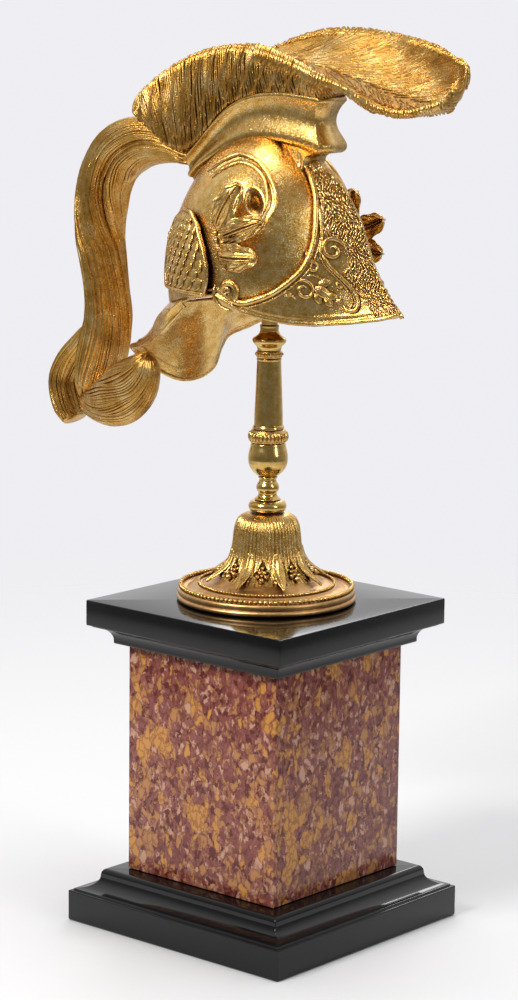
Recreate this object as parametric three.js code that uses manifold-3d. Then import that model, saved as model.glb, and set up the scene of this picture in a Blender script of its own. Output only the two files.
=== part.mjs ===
// Gilt bronze model of a plumed antique helmet, held by a turned stem with a leaf-bell foot
// on a plinth of black and breccia marble. Millimetres, +Z up, the helmet faces +X.
// The origin is the centre of the plinth's underside.
import * as THREE from "three";
import { mergeVertices } from "three/addons/utils/BufferGeometryUtils.js";
import Module from "manifold-3d";

const wasm = await Module();
wasm.setup();

// ---- driving dimensions -------------------------------------------------------------------
const gap = 0.3; // clearance between neighbouring pieces

const plinth = {
  slabHalf: 62, slabHeight: 14, ledge: 1.6, mouldingTopHalf: 51.8, mouldingHeight: 9.8,
  dieHalf: 42.9, dieHeight: 103.8,
  capNeckHalf: 48.6, capHalf: 56.5, capMouldingHeight: 8.3, capHeight: 11.5, capLedge: 3,
};
plinth.dieBottom = plinth.slabHeight + plinth.mouldingHeight;
plinth.capBottom = plinth.dieBottom + plinth.dieHeight;
plinth.top = plinth.capBottom + plinth.capMouldingHeight + plinth.capHeight;

const bowl = {
  centreZ: 290, crownHeight: 64, // the dome is an ellipsoid above and below this level
  frontHalf: 36, rearHalf: 46.5, sideHalf: 42, wall: 2.6,
  prowTop: 345, prowReach: 21, prowDrop: 16, prowFlareTop: 310, prowFlare: 0.019,
  noseRadiusDeg: 3, prowWidthDeg: 16,
};
// height of the lower edge at each angle from the front, in degrees
const rimLine = [
  [0, 281], [7, 278], [15, 276.1], [27, 274.8], [38, 275.4], [52, 277.4], [65, 280.1], [75, 284],
  [83, 286.5], [104, 284.5], [130, 280], [155, 278], [180, 277.5],
];
const crest = { half: 9.5, waistHalf: 7, rootHalf: 8, frontX: 33.5 };
const rod = { radius: 3.6 };
const guard = { wall: 2.2, startDeg: 106, topGap: 0.35 };

// ---- finishes -----------------------------------------------------------------------------
const finish = (color, roughness, metalness) =>
  new THREE.MeshStandardMaterial({ color, roughness, metalness });
const gilt = () => finish("#c9973f", 0.4, 1); // chased and fire-gilt bronze
const burnished = () => finish("#d3a855", 0.18, 1); // turned and burnished gilding
const breccia = () => finish("#8a4f45", 0.2, 0);
const blackMarble = () => finish("#1a1a18", 0.12, 0);

// ---- small helpers ------------------------------------------------------------------------
const V = (x, y, z) => new THREE.Vector3(x, y, z);
const rad = THREE.MathUtils.degToRad;
const lerp = THREE.MathUtils.lerp;

// value of a hand-drawn line [[x, y], ...] at x, straight between its points
function along(line, x) {
  if (x <= line[0][0]) return line[0][1];
  for (let i = 1; i < line.length; i++) {
    const [x0, y0] = line[i - 1];
    const [x1, y1] = line[i];
    if (x <= x1) return lerp(y0, y1, (x - x0) / (x1 - x0));
  }
  return line[line.length - 1][1];
}

// geometry from points and triangles, turned so that its faces point out
function closedMesh(points, triangles) {
  let volume = 0;
  for (const [a, b, c] of triangles) {
    volume += points[a].dot(new THREE.Vector3().crossVectors(points[b], points[c]));
  }
  const index = triangles.flatMap(([a, b, c]) => (volume > 0 ? [a, b, c] : [a, c, b]));
  const geometry = new THREE.BufferGeometry();
  geometry.setAttribute("position", new THREE.Float32BufferAttribute(points.flatMap((p) => p.toArray()), 3));
  geometry.setIndex(index);
  geometry.computeVertexNormals();
  return geometry;
}

// a closed solid through rings of equal point counts, with a fan over each end, or a strip
// from side to side over the last end, for rings whose second half mirrors the first
function loft(rings, stripEnd = false) {
  const n = rings[0].length;
  const points = rings.flat();
  const triangles = [];
  for (let r = 0; r + 1 < rings.length; r++) {
    for (let i = 0; i < n; i++) {
      const a = r * n + i;
      const b = r * n + ((i + 1) % n);
      triangles.push([a, b, a + n], [b, b + n, a + n]);
    }
  }
  const middle = (ring) => ring.reduce((sum, p) => sum.add(p), V(0, 0, 0)).divideScalar(n);
  const end = (rings.length - 1) * n;
  const first = points.push(middle(rings[0])) - 1;
  for (let i = 0; i < n; i++) triangles.push([(i + 1) % n, i, first]);
  if (stripEnd) {
    for (let i = 0; i + 1 < n / 2; i++) {
      const a = end + i;
      const b = end + n - 1 - i;
      triangles.push([a, a + 1, b], [a + 1, b - 1, b]);
    }
  } else {
    const last = points.push(middle(rings[rings.length - 1])) - 1;
    for (let i = 0; i < n; i++) triangles.push([end + i, end + ((i + 1) % n), last]);
  }
  return closedMesh(points, triangles);
}

// a closed sheet between two grids of points [row][column] of the same size
function sheet(front, back) {
  const rows = front.length;
  const columns = front[0].length;
  const points = [...front.flat(), ...back.flat()];
  const half = rows * columns;
  const at = (r, c, side) => side * half + r * columns + c;
  const triangles = [];
  const quad = (a, b, c, d) => triangles.push([a, b, c], [a, c, d]);
  for (let r = 0; r + 1 < rows; r++) {
    for (let c = 0; c + 1 < columns; c++) {
      quad(at(r, c, 0), at(r, c + 1, 0), at(r + 1, c + 1, 0), at(r + 1, c, 0));
      quad(at(r, c, 1), at(r + 1, c, 1), at(r + 1, c + 1, 1), at(r, c + 1, 1));
    }
  }
  for (let c = 0; c + 1 < columns; c++) {
    quad(at(0, c, 0), at(0, c, 1), at(0, c + 1, 1), at(0, c + 1, 0));
    quad(at(rows - 1, c, 0), at(rows - 1, c + 1, 0), at(rows - 1, c + 1, 1), at(rows - 1, c, 1));
  }
  for (let r = 0; r + 1 < rows; r++) {
    quad(at(r, 0, 0), at(r + 1, 0, 0), at(r + 1, 0, 1), at(r, 0, 1));
    quad(at(r, columns - 1, 0), at(r, columns - 1, 1), at(r + 1, columns - 1, 1), at(r + 1, columns - 1, 0));
  }
  return closedMesh(points, triangles);
}

// a smooth line through hand-chosen points, sampled evenly
function spline(points, count, closed = false) {
  const curve = new THREE.CatmullRomCurve3(points, closed, "centripetal");
  const steps = closed ? count : count - 1;
  return Array.from({ length: count }, (_, i) => curve.getPoint(i / steps));
}

// boolean work: geometry in, geometry out
function solid(geometry) {
  const bare = geometry.clone();
  bare.deleteAttribute("normal");
  bare.deleteAttribute("uv");
  const merged = mergeVertices(bare, 1e-4);
  const vertProperties = new Float32Array(merged.attributes.position.array);
  const triVerts = new Uint32Array(merged.index.array);
  return new wasm.Manifold(new wasm.Mesh({ numProp: 3, vertProperties, triVerts }));
}
function fromSolid(made) {
  const mesh = made.getMesh();
  const geometry = new THREE.BufferGeometry();
  geometry.setAttribute("position", new THREE.BufferAttribute(new Float32Array(mesh.vertProperties), 3));
  geometry.setIndex(new THREE.BufferAttribute(new Uint32Array(mesh.triVerts), 1));
  geometry.computeVertexNormals();
  return geometry;
}
const cut = (geometry, ...cutters) =>
  fromSolid(cutters.reduce((rest, cutter) => rest.subtract(solid(cutter)), solid(geometry)));
const join = (...geometries) => fromSolid(geometries.map(solid).reduce((sum, next) => sum.add(next)));
// the largest single body of a cut result
const mainBody = (geometry) =>
  fromSolid(solid(geometry).decompose().sort((a, b) => b.volume() - a.volume())[0]);

const assembly = new THREE.Group();
function add(name, geometry, material) {
  const mesh = new THREE.Mesh(geometry, material);
  mesh.name = name;
  assembly.add(mesh);
  return mesh;
}
// a mirrored copy on the helmet's other side, with its faces turned back out
function mirrored(geometry) {
  const copy = geometry.clone().applyMatrix4(new THREE.Matrix4().makeScale(1, -1, 1));
  const index = copy.index.array;
  for (let i = 0; i < index.length; i += 3) [index[i + 1], index[i + 2]] = [index[i + 2], index[i + 1]];
  copy.computeVertexNormals();
  return copy;
}
function addPair(name, geometry) {
  add(`right_${name}`, geometry, gilt());
  add(`left_${name}`, mirrored(geometry), gilt());
}

// ---- plinth -------------------------------------------------------------------------------
// A four-sided lathe gives a square block; its profile holds half widths and heights.
function squareBlock(profile) {
  const points = profile.map(([half, z]) => new THREE.Vector2(half * Math.SQRT2, z));
  const geometry = new THREE.LatheGeometry(points, 4);
  return geometry.rotateX(Math.PI / 2).rotateZ(Math.PI / 4);
}
// quarter hollow from one half width and height to another
function hollow(half0, z0, half1, z1, steps = 6) {
  return Array.from({ length: steps + 1 }, (_, i) => {
    const angle = (Math.PI / 2) * (i / steps);
    return [lerp(half0, half1, Math.sin(angle)), lerp(z1, z0, Math.cos(angle))];
  });
}
function addPlinth() {
  const p = plinth;
  const lip = 1.6;
  add("plinth_base", squareBlock([
    [0, 0], [p.slabHalf - 0.6, 0], [p.slabHalf, 0.6], [p.slabHalf, p.slabHeight],
    [p.slabHalf - p.ledge, p.slabHeight],
    ...hollow(p.slabHalf - p.ledge, p.slabHeight + 0.8, p.mouldingTopHalf, p.dieBottom - 2 * lip),
    [p.mouldingTopHalf, p.dieBottom], [0, p.dieBottom],
  ]), blackMarble());
  const dieHeight = p.dieHeight - 2 * gap;
  const die = new THREE.BoxGeometry(2 * p.dieHalf, 2 * p.dieHalf, dieHeight);
  add("plinth_die", die, breccia()).position.z = p.dieBottom + p.dieHeight / 2;
  const slabBottom = p.top - p.capHeight;
  add("plinth_cap", squareBlock([
    [0, p.capBottom], [p.capNeckHalf, p.capBottom], [p.capNeckHalf, p.capBottom + lip],
    ...hollow(p.capHalf - p.capLedge, slabBottom - 0.8, p.capNeckHalf, p.capBottom + lip).reverse(),
    [p.capHalf - p.capLedge, slabBottom], [p.capHalf, slabBottom], [p.capHalf, p.top], [0, p.top],
  ]), blackMarble());
}

// ---- foot and stem ------------------------------------------------------------------------
// a turned piece: radii and heights above its own seat, which is at z
function turned(name, z, profile, material, sides = 28) {
  const points = profile.map(([radius, height]) => new THREE.Vector2(radius, height));
  add(name, new THREE.LatheGeometry(points, sides).rotateX(Math.PI / 2), material).position.z = z;
}
const seat = {
  disc: plinth.top + gap, bell: 158.6, torus: 187.3, knop: 192.6, vase: 203.2, ring: 218.2,
  shaft: 224.2, beads: 255.6, socket: 258.9, rod: 270.2,
};
function addFootAndStem() {
  turned("foot_disc", seat.disc, [
    [0, 0], [39.2, 0], [39.8, 0.8], [39.8, 4.2], [39, 5.4], [37.6, 6.2], [35.4, 6.2], [34.6, 5.6],
    [31, 6.4], [29.8, 7.8], [28.4, 8.6], [26, 8.6], [24, 9.4], [22.8, 10.4], [0, 10.4],
  ], burnished(), 56);
  turned("leaf_bell", seat.bell, [
    [0, 0], [22.4, 0], [21.8, 1.6], [19.2, 4.6], [17.2, 7.6], [15.6, 11.6], [14.6, 16.2],
    [13.8, 20.6], [13, 24], [11.6, 26.8], [8.8, 28.4], [0, 28.4],
  ], gilt(), 36);
  turned("stem_torus", seat.torus, [
    [0, 0], [7, 0], [8.1, 0.9], [8.4, 2.4], [8, 3.9], [6.8, 4.9], [0, 4.9],
  ], burnished());
  turned("stem_knop", seat.knop, [
    [0, 0], [5.6, 0], [4.4, 1.4], [4, 2.8], [4.8, 4], [5, 5.4], [4.7, 6.8], [3.8, 8.2], [3.8, 9.4],
    [4.2, 10.3], [0, 10.3],
  ], burnished());
  turned("stem_vase", seat.vase, [
    [0, 0], [4.6, 0], [6.4, 1.6], [8, 4], [8.8, 7], [8.7, 9.4], [8, 12], [7.6, 14.7], [0, 14.7],
  ], burnished());
  turned("gadroon_ring", seat.ring, [
    [0, 0], [8.1, 0], [9, 1.2], [9, 3.2], [8.2, 5], [7.2, 5.7], [0, 5.7],
  ], gilt(), 36);
  turned("stem_shaft", seat.shaft, [
    [0, 0], [7, 0], [6.6, 1.6], [6.3, 6], [5.3, 30.2], [5.3, 31.1], [0, 31.1],
  ], burnished());
  turned("bead_ring", seat.beads, [
    [0, 0], [5.5, 0], [6.2, 0.8], [6.2, 2], [5.5, 3], [0, 3],
  ], gilt());
  turned("stem_socket", seat.socket, [
    [0, 0], [5.3, 0], [5.5, 1.4], [6.6, 3], [7.4, 4.2], [7.4, 5.2], [5.6, 6.6], [4.4, 7.6],
    [4, 9], [4.2, 11], [0, 11],
  ], burnished());
  const inside = bowl.centreZ + bowl.crownHeight - bowl.wall - 2 * gap;
  turned("fixing_rod", seat.rod, [
    [0, 0], [rod.radius, 0], [rod.radius, inside - seat.rod], [0, inside - seat.rod],
  ], burnished(), 20);
}

// ---- the bowl's surface -------------------------------------------------------------------
// The visor reaches forward of the dome as a prow that widens towards the lower edge.
function prowReach(z) {
  const upper = z > bowl.prowTop ? 0 : bowl.prowReach * (1 - Math.exp((z - bowl.prowTop) / bowl.prowDrop));
  return upper + bowl.prowFlare * Math.max(0, bowl.prowFlareTop - z) ** 2;
}
// point on the bowl at an angle from the front (degrees, positive to the helmet's left),
// at a height, and a distance out from the outer face
function bowlPoint(degrees, z, out = 0) {
  const angle = rad(degrees);
  const level = Math.sqrt(Math.max(0, 1 - ((z - bowl.centreZ) / (bowl.crownHeight + out)) ** 2));
  const half = (Math.cos(angle) > 0 ? bowl.frontHalf : bowl.rearHalf) + out;
  const turn = Math.abs(((degrees + 540) % 360) - 180);
  const nose = Math.hypot(turn, bowl.noseRadiusDeg) - bowl.noseRadiusDeg;
  const reach = prowReach(z) * Math.exp(-nose / bowl.prowWidthDeg);
  return V(half * level * Math.cos(angle) + reach, (bowl.sideHalf + out) * level * Math.sin(angle), z);
}
const rimHeight = (degrees) => along(rimLine, Math.abs(((degrees + 540) % 360) - 180));

const bowlAngles = 60;
const outerLevels = 15;
// rings from the lower edge to the crown, at a distance out from the outer face
function bowlRings(out, levels) {
  const crown = bowl.centreZ + bowl.crownHeight + out;
  return Array.from({ length: levels }, (_, r) => {
    const rise = Math.sin((Math.PI / 2) * (r / levels));
    return Array.from({ length: bowlAngles }, (_, i) => {
      const degrees = (360 * i) / bowlAngles;
      return bowlPoint(degrees, lerp(rimHeight(degrees), crown, rise), out);
    });
  });
}
// the outer face as a plain lump with a flat foot, for cutting neighbours clear of it
function bowlLump(out) {
  const crown = bowl.centreZ + bowl.crownHeight + out;
  const below = Array.from({ length: bowlAngles }, (_, i) => {
    const degrees = (360 * i) / bowlAngles;
    return bowlPoint(degrees, rimHeight(degrees) - 6, out);
  });
  const tip = Array.from({ length: bowlAngles }, (_, i) => {
    const angle = (2 * Math.PI * i) / bowlAngles;
    return V(0.05 * Math.cos(angle), 0.05 * Math.sin(angle), crown);
  });
  return loft([below, ...bowlRings(out, outerLevels), tip]);
}
function bowlShell() {
  const n = bowlAngles;
  const outer = bowlRings(0, outerLevels);
  const inner = bowlRings(-bowl.wall, 12);
  const points = [...outer.flat(), V(0, 0, bowl.centreZ + bowl.crownHeight)];
  const apex = points.length - 1;
  const innerStart = points.length;
  points.push(...inner.flat(), V(0, 0, bowl.centreZ + bowl.crownHeight - bowl.wall));
  const innerApex = points.length - 1;
  const triangles = [];
  const skin = (start, rings, top, turnedIn) => {
    const put = (a, b, c) => triangles.push(turnedIn ? [a, c, b] : [a, b, c]);
    for (let r = 0; r < rings; r++) {
      for (let i = 0; i < n; i++) {
        const a = start + r * n + i;
        const b = start + r * n + ((i + 1) % n);
        if (r + 1 === rings) put(a, b, top);
        else {
          put(a, b, a + n);
          put(b, b + n, a + n);
        }
      }
    }
  };
  skin(0, outer.length, apex, false);
  skin(innerStart, inner.length, innerApex, true);
  for (let i = 0; i < n; i++) {
    const next = (i + 1) % n;
    triangles.push([i, innerStart + i, next], [next, innerStart + i, innerStart + next]);
  }
  return closedMesh(points, triangles);
}

// ---- neck guard ---------------------------------------------------------------------------
// its free edge, from the helmet's right side round the back to the left; the left side
// hangs in lobes, and the back reaches the tail
const guardEdge = [
  V(-14, -40.5, 280.5), V(-22, -40.5, 273), V(-30, -37, 268), V(-40, -31, 265), V(-53, -21, 260),
  V(-67, -12, 256), V(-78.5, -4, 252.5), V(-75, 6, 243.5), V(-67, 14, 238), V(-61, 21, 238.5),
  V(-58, 28, 243), V(-59, 34, 251), V(-57, 38, 257), V(-47, 41.5, 262), V(-30, 42.5, 271),
  V(-14, 40.5, 280.5),
];
function neckGuard() {
  const columns = 37;
  const rows = 7;
  const edge = spline(guardEdge, columns);
  const grid = (out) => Array.from({ length: rows }, (_, r) => edge.map((free, c) => {
    const degrees = -guard.startDeg - (360 - 2 * guard.startDeg) * (c / (columns - 1));
    const top = bowlPoint(degrees, rimHeight(degrees) - guard.topGap);
    const t = r / (rows - 1);
    // the right and back swell outwards, and the left side is hollow
    const sag = lerp(-3.4, 3.2, THREE.MathUtils.smoothstep(c, 16, 24)) * Math.sin(Math.PI * t ** 1.6);
    const middle = V(0, 0, 268);
    const p = top.clone().lerp(free, t);
    const inward = middle.clone().sub(p).setZ(0).normalize();
    return p.add(inward.clone().multiplyScalar(sag + out)).add(V(0, 0, -0.35 * sag - 0.3 * out));
  }));
  return sheet(grid(0), grid(guard.wall));
}

// ---- crest box ----------------------------------------------------------------------------
// stations from the rear to the front: [top x, top z, bottom x, bottom z] in the middle plane
const crestStations = [
  [-40, 341.5, -40, 335.5], [-35, 347.5, -35, 338], [-26, 357, -28, 340.5], [-16, 365, -18, 345.8],
  [-4.5, 369.6, -6.7, 350], [9.5, 371.6, 7.5, 350.6], [23.5, 371.2, 24, 348.5],
  [crest.frontX, 370.3, crest.frontX, 346],
];
// half widths down the side: [share of the height from the top, half width, set back at the nose]
const crestSide = [
  [0, crest.half, 0], [0.12, crest.half, 0], [0.26, 8.2, 2], [0.42, crest.waistHalf, 3.2],
  [0.6, 7.4, 2.4], [0.76, 8.9, 0.4], [0.86, crest.half, -0.6], [0.97, 9, 0.2],
  [1.06, crest.rootHalf, 6], [1.6, crest.rootHalf, 9],
];
function crestRing(top, bottom, nose) {
  const side = (sign) => crestSide.map(([share, half, back]) => {
    const p = top.clone().lerp(bottom, share);
    return V(p.x - back * nose, sign * half, p.z);
  });
  return [...side(-1), ...side(1).reverse()];
}
function crestBody() {
  const tops = spline(crestStations.map(([x, z]) => V(x, 0, z)), 22);
  const bottoms = spline(crestStations.map(([, , x, z]) => V(x, 0, z)), 22);
  const rings = tops.map((top, i) => crestRing(top, bottoms[i], i === tops.length - 1 ? 1 : 0));
  return mainBody(cut(loft(rings, true), bowlLump(1.5 * gap)));
}

// ---- plume --------------------------------------------------------------------------------
// stations from the rear to the front: right rim, left rim, root on the middle line, root half
// width, thickness of the dished front (0 where the hair stands on the crest)
const plumeStations = [
  [V(-79, -3, 361), V(-79, 3, 362), V(-77.5, 0, 357), 3, 0],
  [V(-72, -5.5, 367.5), V(-72, 5, 368.5), V(-66, 0, 351), 6, 0],
  [V(-57, -6.5, 377), V(-57, 6, 378), V(-51, 0, 345), 8, 0],
  [V(-39, -7, 385.3), V(-40, 6, 385.6), V(-38, 0, 347), 9, 0],
  [V(-20, -7, 389.8), V(-21, 6, 390), V(-20, 0, 363.8), 9.2, 0],
  [V(-4, -7.5, 389.9), V(-6, 4, 389), V(-5, 0, 370.3), 9.2, 0],
  [V(9, -9, 387.6), V(3, 10, 393.2), V(9, 0, 372.3), 9.2, 0],
  [V(22, -10, 383.7), V(11, 15, 396.4), V(21, 0, 372.1), 9, 0],
  [V(36, -12, 379.4), V(20, 19, 398), V(32, 0, 371.4), 8.6, 0],
  [V(50, -14, 376), V(34, 22, 398.2), V(44, -1, 372), 8, 0.75],
  [V(64, -16, 370.2), V(51, 22, 396.6), V(60, 0, 377), 8, 1],
  [V(77, -18, 366.8), V(66, 18.8, 394.7), V(72, 0, 377), 8, 1],
  [V(89.5, -17.5, 366.8), V(80, 15, 392), V(85, 0, 377), 8, 1],
  [V(98, -13.5, 370.4), V(92, 9, 388.4), V(95.5, 0, 378.5), 6, 1],
];
const dish = { thickness: 4.2, depth: 6.5 };
function plumeRing([right, left, root, rootHalf, dished], depthShare) {
  const across = left.clone().sub(right);
  const down = V(0, across.z, -across.y).normalize(); // square to the rim-to-rim line, downwards
  const hollowed = (t, under) => {
    const depth = dish.depth * depthShare * Math.sin(Math.PI * t) ** 0.8;
    return right.clone().lerp(left, t).addScaledVector(down, depth + under);
  };
  const top = [0, 0.15, 0.35, 0.6, 0.85, 1].map((t) => hollowed(t, 0));
  // the side walls run to the crest, or under the dish once it stands free
  const wall = (rim, sign, t) => {
    const foot = V(root.x, sign * rootHalf + root.y, root.z);
    const under = hollowed(sign < 0 ? 0.25 : 0.75, dish.thickness);
    const target = foot.lerp(under, dished);
    const start = rim.clone().addScaledVector(down, 1.6).add(V(0, sign * 1.1 * (1 - 0.3 * dished), 0));
    return start.lerp(target, t);
  };
  const rightWall = [1, 0.5, 0].map((t) => wall(right, -1, t));
  const leftWall = [0, 0.5, 1].map((t) => wall(left, 1, t));
  const bottom = V(root.x, root.y, root.z).lerp(hollowed(0.5, dish.thickness), dished);
  return [...rightWall, ...top, ...leftWall, bottom];
}
function plumeBody() {
  const rows = 34;
  const lines = plumeStations.map((station, i) =>
    plumeRing(station, Math.min(1, 0.18 + Math.max(0, i - 4) * 0.17)));
  const tracks = lines[0].map((_, k) => spline(lines.map((ring) => ring[k]), rows));
  const rings = tracks[0].map((_, r) => tracks.map((track) => track[r]));
  // the dish closes round its front edge
  const last = rings[rings.length - 1];
  const tip = V(102.8, -1.5, 379.5);
  for (const share of [0.4, 0.72]) {
    const draw = Math.sqrt(1 - share * share);
    rings.push(last.map((p) => tip.clone().lerp(p, draw).setX(lerp(p.x, tip.x, share))));
  }
  return loft(rings);
}

// ---- plume tail ---------------------------------------------------------------------------
// a lock of hair: stations [middle, half thickness, half breadth, turn of the section in degrees]
function lock(stations, rows, sides) {
  const middle = spline(stations.map(([p]) => p), rows);
  const sizes = spline(stations.map(([, thick, broad, turnDeg]) => V(thick, broad, turnDeg)), rows);
  const rings = middle.map((p, r) => {
    const ahead = middle[Math.min(r + 1, rows - 1)];
    const behind = middle[Math.max(r - 1, 0)];
    const forward = ahead.clone().sub(behind).normalize();
    const side = V(0, 1, 0).addScaledVector(forward, -forward.y).normalize();
    const out = new THREE.Vector3().crossVectors(forward, side);
    const { x: thick, y: broad, z: turnDeg } = sizes[r];
    return Array.from({ length: sides }, (_, i) => {
      const angle = (2 * Math.PI * i) / sides;
      const a = thick * Math.cos(angle);
      const b = broad * Math.sin(angle);
      const turn = rad(turnDeg);
      return p.clone()
        .addScaledVector(out, a * Math.cos(turn) - b * Math.sin(turn))
        .addScaledVector(side, a * Math.sin(turn) + b * Math.cos(turn));
    });
  });
  return loft(rings);
}
function tailBody() {
  const main = lock([
    [V(-55, 0, 344), 5.5, 7, 0], [V(-67, 0, 345), 9.5, 9, 0], [V(-79, 0, 344), 12.5, 11, 0],
    [V(-90, 0, 339), 13.5, 12.5, 0], [V(-98, 0, 328.5), 12.5, 13, 0], [V(-101.5, 0, 315), 11.5, 13, 0],
    [V(-102, 0, 302), 10.5, 12.5, 0], [V(-100, 0, 290), 9.5, 12, 0], [V(-98, 0, 277), 9, 11.5, 0],
    [V(-97, 0, 265), 10, 12, 0], [V(-99, 0, 253), 11.5, 12.5, 0], [V(-102, 0, 243), 11.5, 12, 0],
    [V(-103, -1, 232), 9.5, 11, 0], [V(-103, -2, 223.5), 5, 7, 0],
  ], 34, 16);
  const leftLock = lock([
    [V(-106, 2, 259), 4, 7, 0], [V(-113.5, 2, 250), 6, 8.5, 0], [V(-121.5, 2, 241.5), 6.5, 9, 0],
    [V(-125.5, 1, 232), 6.5, 8.5, 0], [V(-122.5, 0, 221), 6, 8, 0], [V(-118, 0, 214.5), 4.5, 7, 0],
  ], 14, 12);
  const rightLock = lock([
    [V(-103, -4, 226), 7, 8, 0], [V(-92, -7, 225.5), 9.5, 9, 0], [V(-81, -10, 229), 11.5, 8, 0],
    [V(-71, -12, 234), 12.5, 7.5, 0], [V(-63, -14, 239), 10.5, 6.5, 0], [V(-57.5, -15, 243), 6.5, 4.5, 0],
  ], 14, 16);
  return join(main, leftLock, rightLock);
}

// ---- raised ornaments on both sides -------------------------------------------------------
// a round-backed moulding along the bowl: path of [degrees, height], half width, standing height
function band(path, rows, halfWidth, height) {
  const line = spline(path.map(([degrees, z]) => V(degrees, z, 0)), rows);
  const seatAt = (p, out) => bowlPoint(-p.x, p.y, out);
  const rings = line.map((p, r) => {
    const ahead = seatAt(line[Math.min(r + 1, rows - 1)], 0);
    const behind = seatAt(line[Math.max(r - 1, 0)], 0);
    const forward = ahead.sub(behind).normalize();
    const outward = seatAt(p, 1).sub(seatAt(p, 0)).normalize();
    const side = new THREE.Vector3().crossVectors(forward, outward).normalize();
    const taper = Math.min(1, 0.45 + 0.2 * Math.min(r, rows - 1 - r));
    const section = [[-1, 0], [-0.8, 0.6], [0, 1], [0.8, 0.6], [1, 0]];
    return section.map(([across, up]) => seatAt(p, 0)
      .addScaledVector(outward, 0.45 + up * height * taper)
      .addScaledVector(side, across * halfWidth * taper));
  });
  return loft(rings);
}
const cheekPath = [
  [15.4, 337.4], [15.8, 333], [17.4, 327], [20.3, 317.5], [23, 309], [28, 300.5], [36, 294.2],
  [46, 288.8], [57, 285.3], [66, 284.4],
];
// the scroll that ends the cheek moulding, a spiral about its eye
const cheekVolute = { degrees: 73.5, z: 289.4, radius: 4.4, turns: 0.9 };
const earPath = [
  [116, 337.2], [106, 341.4], [92, 344.6], [76, 344.8], [61, 342.6], [51, 338.6], [44.5, 332.5],
  [42.6, 326.5], [46, 321],
];
function cheekBand() {
  const v = cheekVolute;
  const startAngle = -0.62 * Math.PI;
  const spiral = Array.from({ length: 8 }, (_, i) => {
    const t = i / 7;
    const angle = startAngle - 2 * Math.PI * v.turns * t;
    const radius = v.radius * (1 - 0.5 * t);
    const perDegree = 0.73; // mm along the surface for each degree here
    return [v.degrees - (radius * Math.cos(angle)) / perDegree, v.z + radius * Math.sin(angle)];
  });
  return band([...cheekPath, ...spiral], 44, 1.7, 2);
}

// a leaf that springs from the side and stands out from it: base, tip, half width, and the
// direction its face looks
function leaf(base, tip, halfWidth, face) {
  const rows = 9;
  const columns = 5;
  const rise = 2;
  const thickness = 2;
  const forward = tip.clone().sub(base);
  const outward = face.clone().addScaledVector(forward, -face.dot(forward) / forward.lengthSq()).normalize();
  const side = new THREE.Vector3().crossVectors(forward, outward).normalize();
  const grid = (under) => Array.from({ length: rows }, (_, r) => Array.from({ length: columns }, (_, c) => {
    const t = r / (rows - 1);
    const across = (2 * c) / (columns - 1) - 1;
    const width = halfWidth * Math.max(0.16, Math.sin(Math.PI * Math.min(0.97, 0.1 + 0.88 * t)) ** 0.65);
    const crown = rise * Math.sin(Math.PI * Math.min(1, t * 1.05)) - 1.3 * across * across;
    return base.clone().addScaledVector(forward, t)
      .addScaledVector(side, across * width)
      .addScaledVector(outward, crown - under);
  }));
  return sheet(grid(0), grid(thickness));
}

// three leaves on each side, drawn for the right: name, base, tip, half width, way it faces.
// Those on the left spring a little lower.
const rightLeaves = [
  ["right_leaf_upper", V(6, -41.6, 317), V(16.5, -40.5, 336), 5.8, V(0.2, -1, 0.15)],
  ["right_leaf_middle", V(9.5, -43.5, 312.5), V(31, -42.5, 320.5), 5.6, V(0.15, -1, 0)],
  ["right_leaf_lower", V(8.5, -44, 304.5), V(28.5, -44, 303.5), 5.4, V(0.15, -1, -0.1)],
];
const leftLeaves = [
  ["left_leaf_upper", V(4.5, -42.6, 313.5), V(14.5, -41.9, 328.5), 5, V(0.2, -1, 0.15)],
  ["left_leaf_middle", V(9.5, -44.1, 308.2), V(30, -43, 315.6), 5, V(0.15, -1, 0)],
  ["left_leaf_lower", V(8.5, -44.4, 300.6), V(28.5, -44.2, 299.6), 5, V(0.15, -1, -0.1)],
];
function addLeaves() {
  for (const [name, ...shape] of rightLeaves) add(name, leaf(...shape), gilt());
  for (const [name, ...shape] of leftLeaves) add(name, mirrored(leaf(...shape)), gilt());
}

// the scaled plate behind the ear: lower, middle and upper edges in degrees and heights
function scalePlate() {
  const rows = 8;
  const columns = 9;
  const frontEdge = [[287, 88], [293, 85.5], [299, 85.8], [306, 89.5], [316, 97], [321, 105]];
  const backEdge = [[287, 136], [306, 138], [316, 133], [321, 121]];
  const grid = (out) => Array.from({ length: rows }, (_, r) => Array.from({ length: columns }, (_, c) => {
    const z = lerp(287.5, 321, r / (rows - 1));
    const degrees = lerp(along(frontEdge, z), along(backEdge, z), c / (columns - 1));
    const lift = 1.6 * (1 - c / (columns - 1)); // its front edge stands off the bowl
    return bowlPoint(-degrees, z, out + (out > 1 ? lift : 0.3 * lift));
  }));
  return sheet(grid(2), grid(0.45));
}

function addHelmet() {
  add("helmet_bowl", bowlShell(), gilt());
  add("crest_box", crestBody(), gilt());
  const plume = plumeBody();
  add("plume", plume, gilt());
  const guardGeometry = neckGuard();
  add("neck_guard", guardGeometry, gilt());
  const clear = [plume, guardGeometry].flatMap((geometry) =>
    [V(0, 0, 0), V(0, 0, -gap), V(-gap, 0, 0), V(0, gap, 0), V(0, -gap, 0)].map((shift) =>
      geometry.clone().translate(...shift)));
  add("plume_tail", mainBody(cut(tailBody(), ...clear)), gilt());
  const lump = bowlLump(gap);
  addPair("cheek_band", mainBody(cut(cheekBand(), lump)));
  addPair("ear_band", mainBody(cut(band(earPath, 24, 1.6, 1.6), lump)));
  addLeaves();
  addPair("scale_plate", scalePlate());
}

addPlinth();
addFootAndStem();
addHelmet();

export default assembly;
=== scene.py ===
import math

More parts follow.
